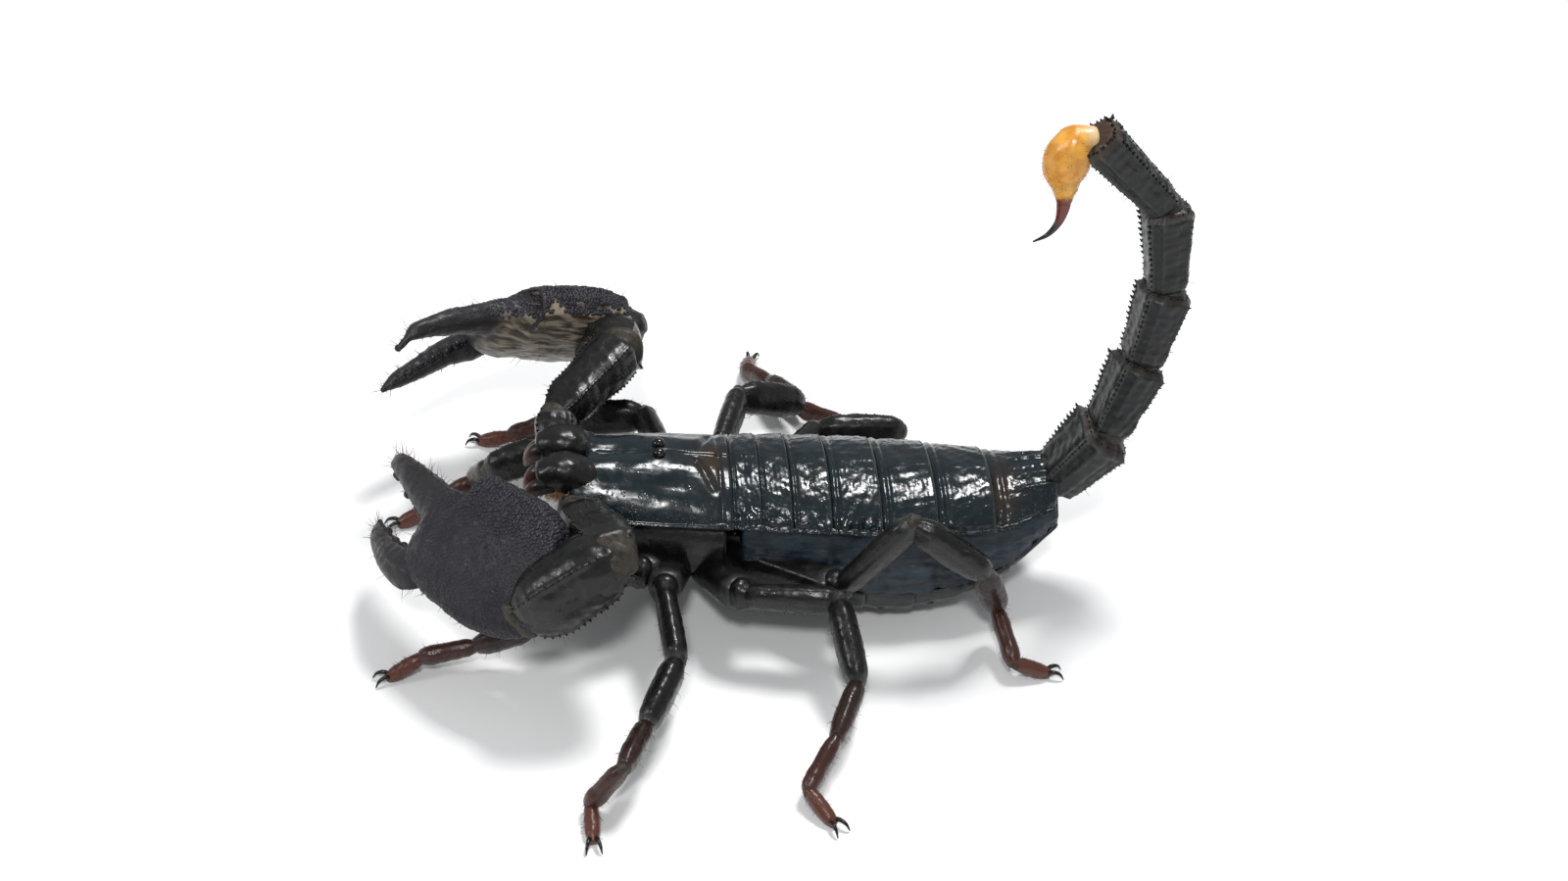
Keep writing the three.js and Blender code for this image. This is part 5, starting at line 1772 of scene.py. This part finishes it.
class SCORPION_OT_mouth_parts(bpy.types.Operator):
    """Make the small pincers in front of the mouth"""
    bl_idname = "scorpion.mouth_parts"
    bl_label = "Mouth pincers"

    def execute(self, context):
        build_mouth_parts()
        return {"FINISHED"}


class SCORPION_OT_combs(bpy.types.Operator):
    """Make the combs under the belly"""
    bl_idname = "scorpion.combs"
    bl_label = "Combs"

    def execute(self, context):
        build_combs()
        return {"FINISHED"}


class SCORPION_OT_tail(bpy.types.Operator):
    """Make the keeled tail segments"""
    bl_idname = "scorpion.tail"
    bl_label = "Tail"

    def execute(self, context):
        build_tail()
        return {"FINISHED"}


class SCORPION_OT_sting(bpy.types.Operator):
    """Make the poison bulb and the sting"""
    bl_idname = "scorpion.sting"
    bl_label = "Bulb and sting"

    def execute(self, context):
        build_telson()
        return {"FINISHED"}


class SCORPION_OT_legs(bpy.types.Operator):
    """Make the eight legs"""
    bl_idname = "scorpion.legs"
    bl_label = "Legs"

    def execute(self, context):
        build_legs()
        return {"FINISHED"}


class SCORPION_OT_arms(bpy.types.Operator):
    """Make both arms up to the claws"""
    bl_idname = "scorpion.arms"
    bl_label = "Arms"

    def execute(self, context):
        build_arms()
        return {"FINISHED"}


class SCORPION_OT_claws(bpy.types.Operator):
    """Make both claws with their beads and teeth"""
    bl_idname = "scorpion.claws"
    bl_label = "Claws"

    def execute(self, context):
        build_claws()
        return {"FINISHED"}


class SCORPION_OT_coat(bpy.types.Operator):
    """Make the sparse hair of claws, limbs and tail"""
    bl_idname = "scorpion.coat"
    bl_label = "Hair"

    def execute(self, context):
        build_coat()
        return {"FINISHED"}


OPERATORS = (
    SCORPION_OT_stage, SCORPION_OT_carapace, SCORPION_OT_eyes, SCORPION_OT_back_plates,
    SCORPION_OT_flanks, SCORPION_OT_belly_plates, SCORPION_OT_underside, SCORPION_OT_mouth_parts,
    SCORPION_OT_combs, SCORPION_OT_tail, SCORPION_OT_sting, SCORPION_OT_legs, SCORPION_OT_arms,
    SCORPION_OT_claws, SCORPION_OT_coat,
)
GROUPS = (ScorpionSizes, ScorpionColours, ScorpionStage)


class SCORPION_PT_builder(bpy.types.Panel):
    """Settings and steps of the scorpion"""
    bl_label = "Scorpion"
    bl_space_type = "VIEW_3D"
    bl_region_type = "UI"
    bl_category = "Scorpion"

    def draw(self, context):
        scene = context.scene
        for settings in (scene.scorpion_sizes, scene.scorpion_stage, scene.scorpion_colours):
            box = self.layout.box()
            for key in settings.__annotations__:
                box.prop(settings, key)
        for step_class in OPERATORS:
            self.layout.operator(step_class.bl_idname)


CLASSES = (*GROUPS, *OPERATORS, SCORPION_PT_builder)


def register():
    """Registers the settings, the steps and the panel."""
    for item in CLASSES:
        bpy.utils.register_class(item)
    bpy.types.Scene.scorpion_sizes = bpy.props.PointerProperty(type=ScorpionSizes)
    bpy.types.Scene.scorpion_colours = bpy.props.PointerProperty(type=ScorpionColours)
    bpy.types.Scene.scorpion_stage = bpy.props.PointerProperty(type=ScorpionStage)


def unregister():
    """Takes away what register added."""
    del bpy.types.Scene.scorpion_stage
    del bpy.types.Scene.scorpion_colours
    del bpy.types.Scene.scorpion_sizes
    for item in reversed(CLASSES):
        bpy.utils.unregister_class(item)


def main():
    """Builds the whole scorpion."""
    register()
    for operator in OPERATORS:
        group, step_name = operator.bl_idname.split(".")
        getattr(getattr(bpy.ops, group), step_name)()


if __name__ == "__main__":
    main()
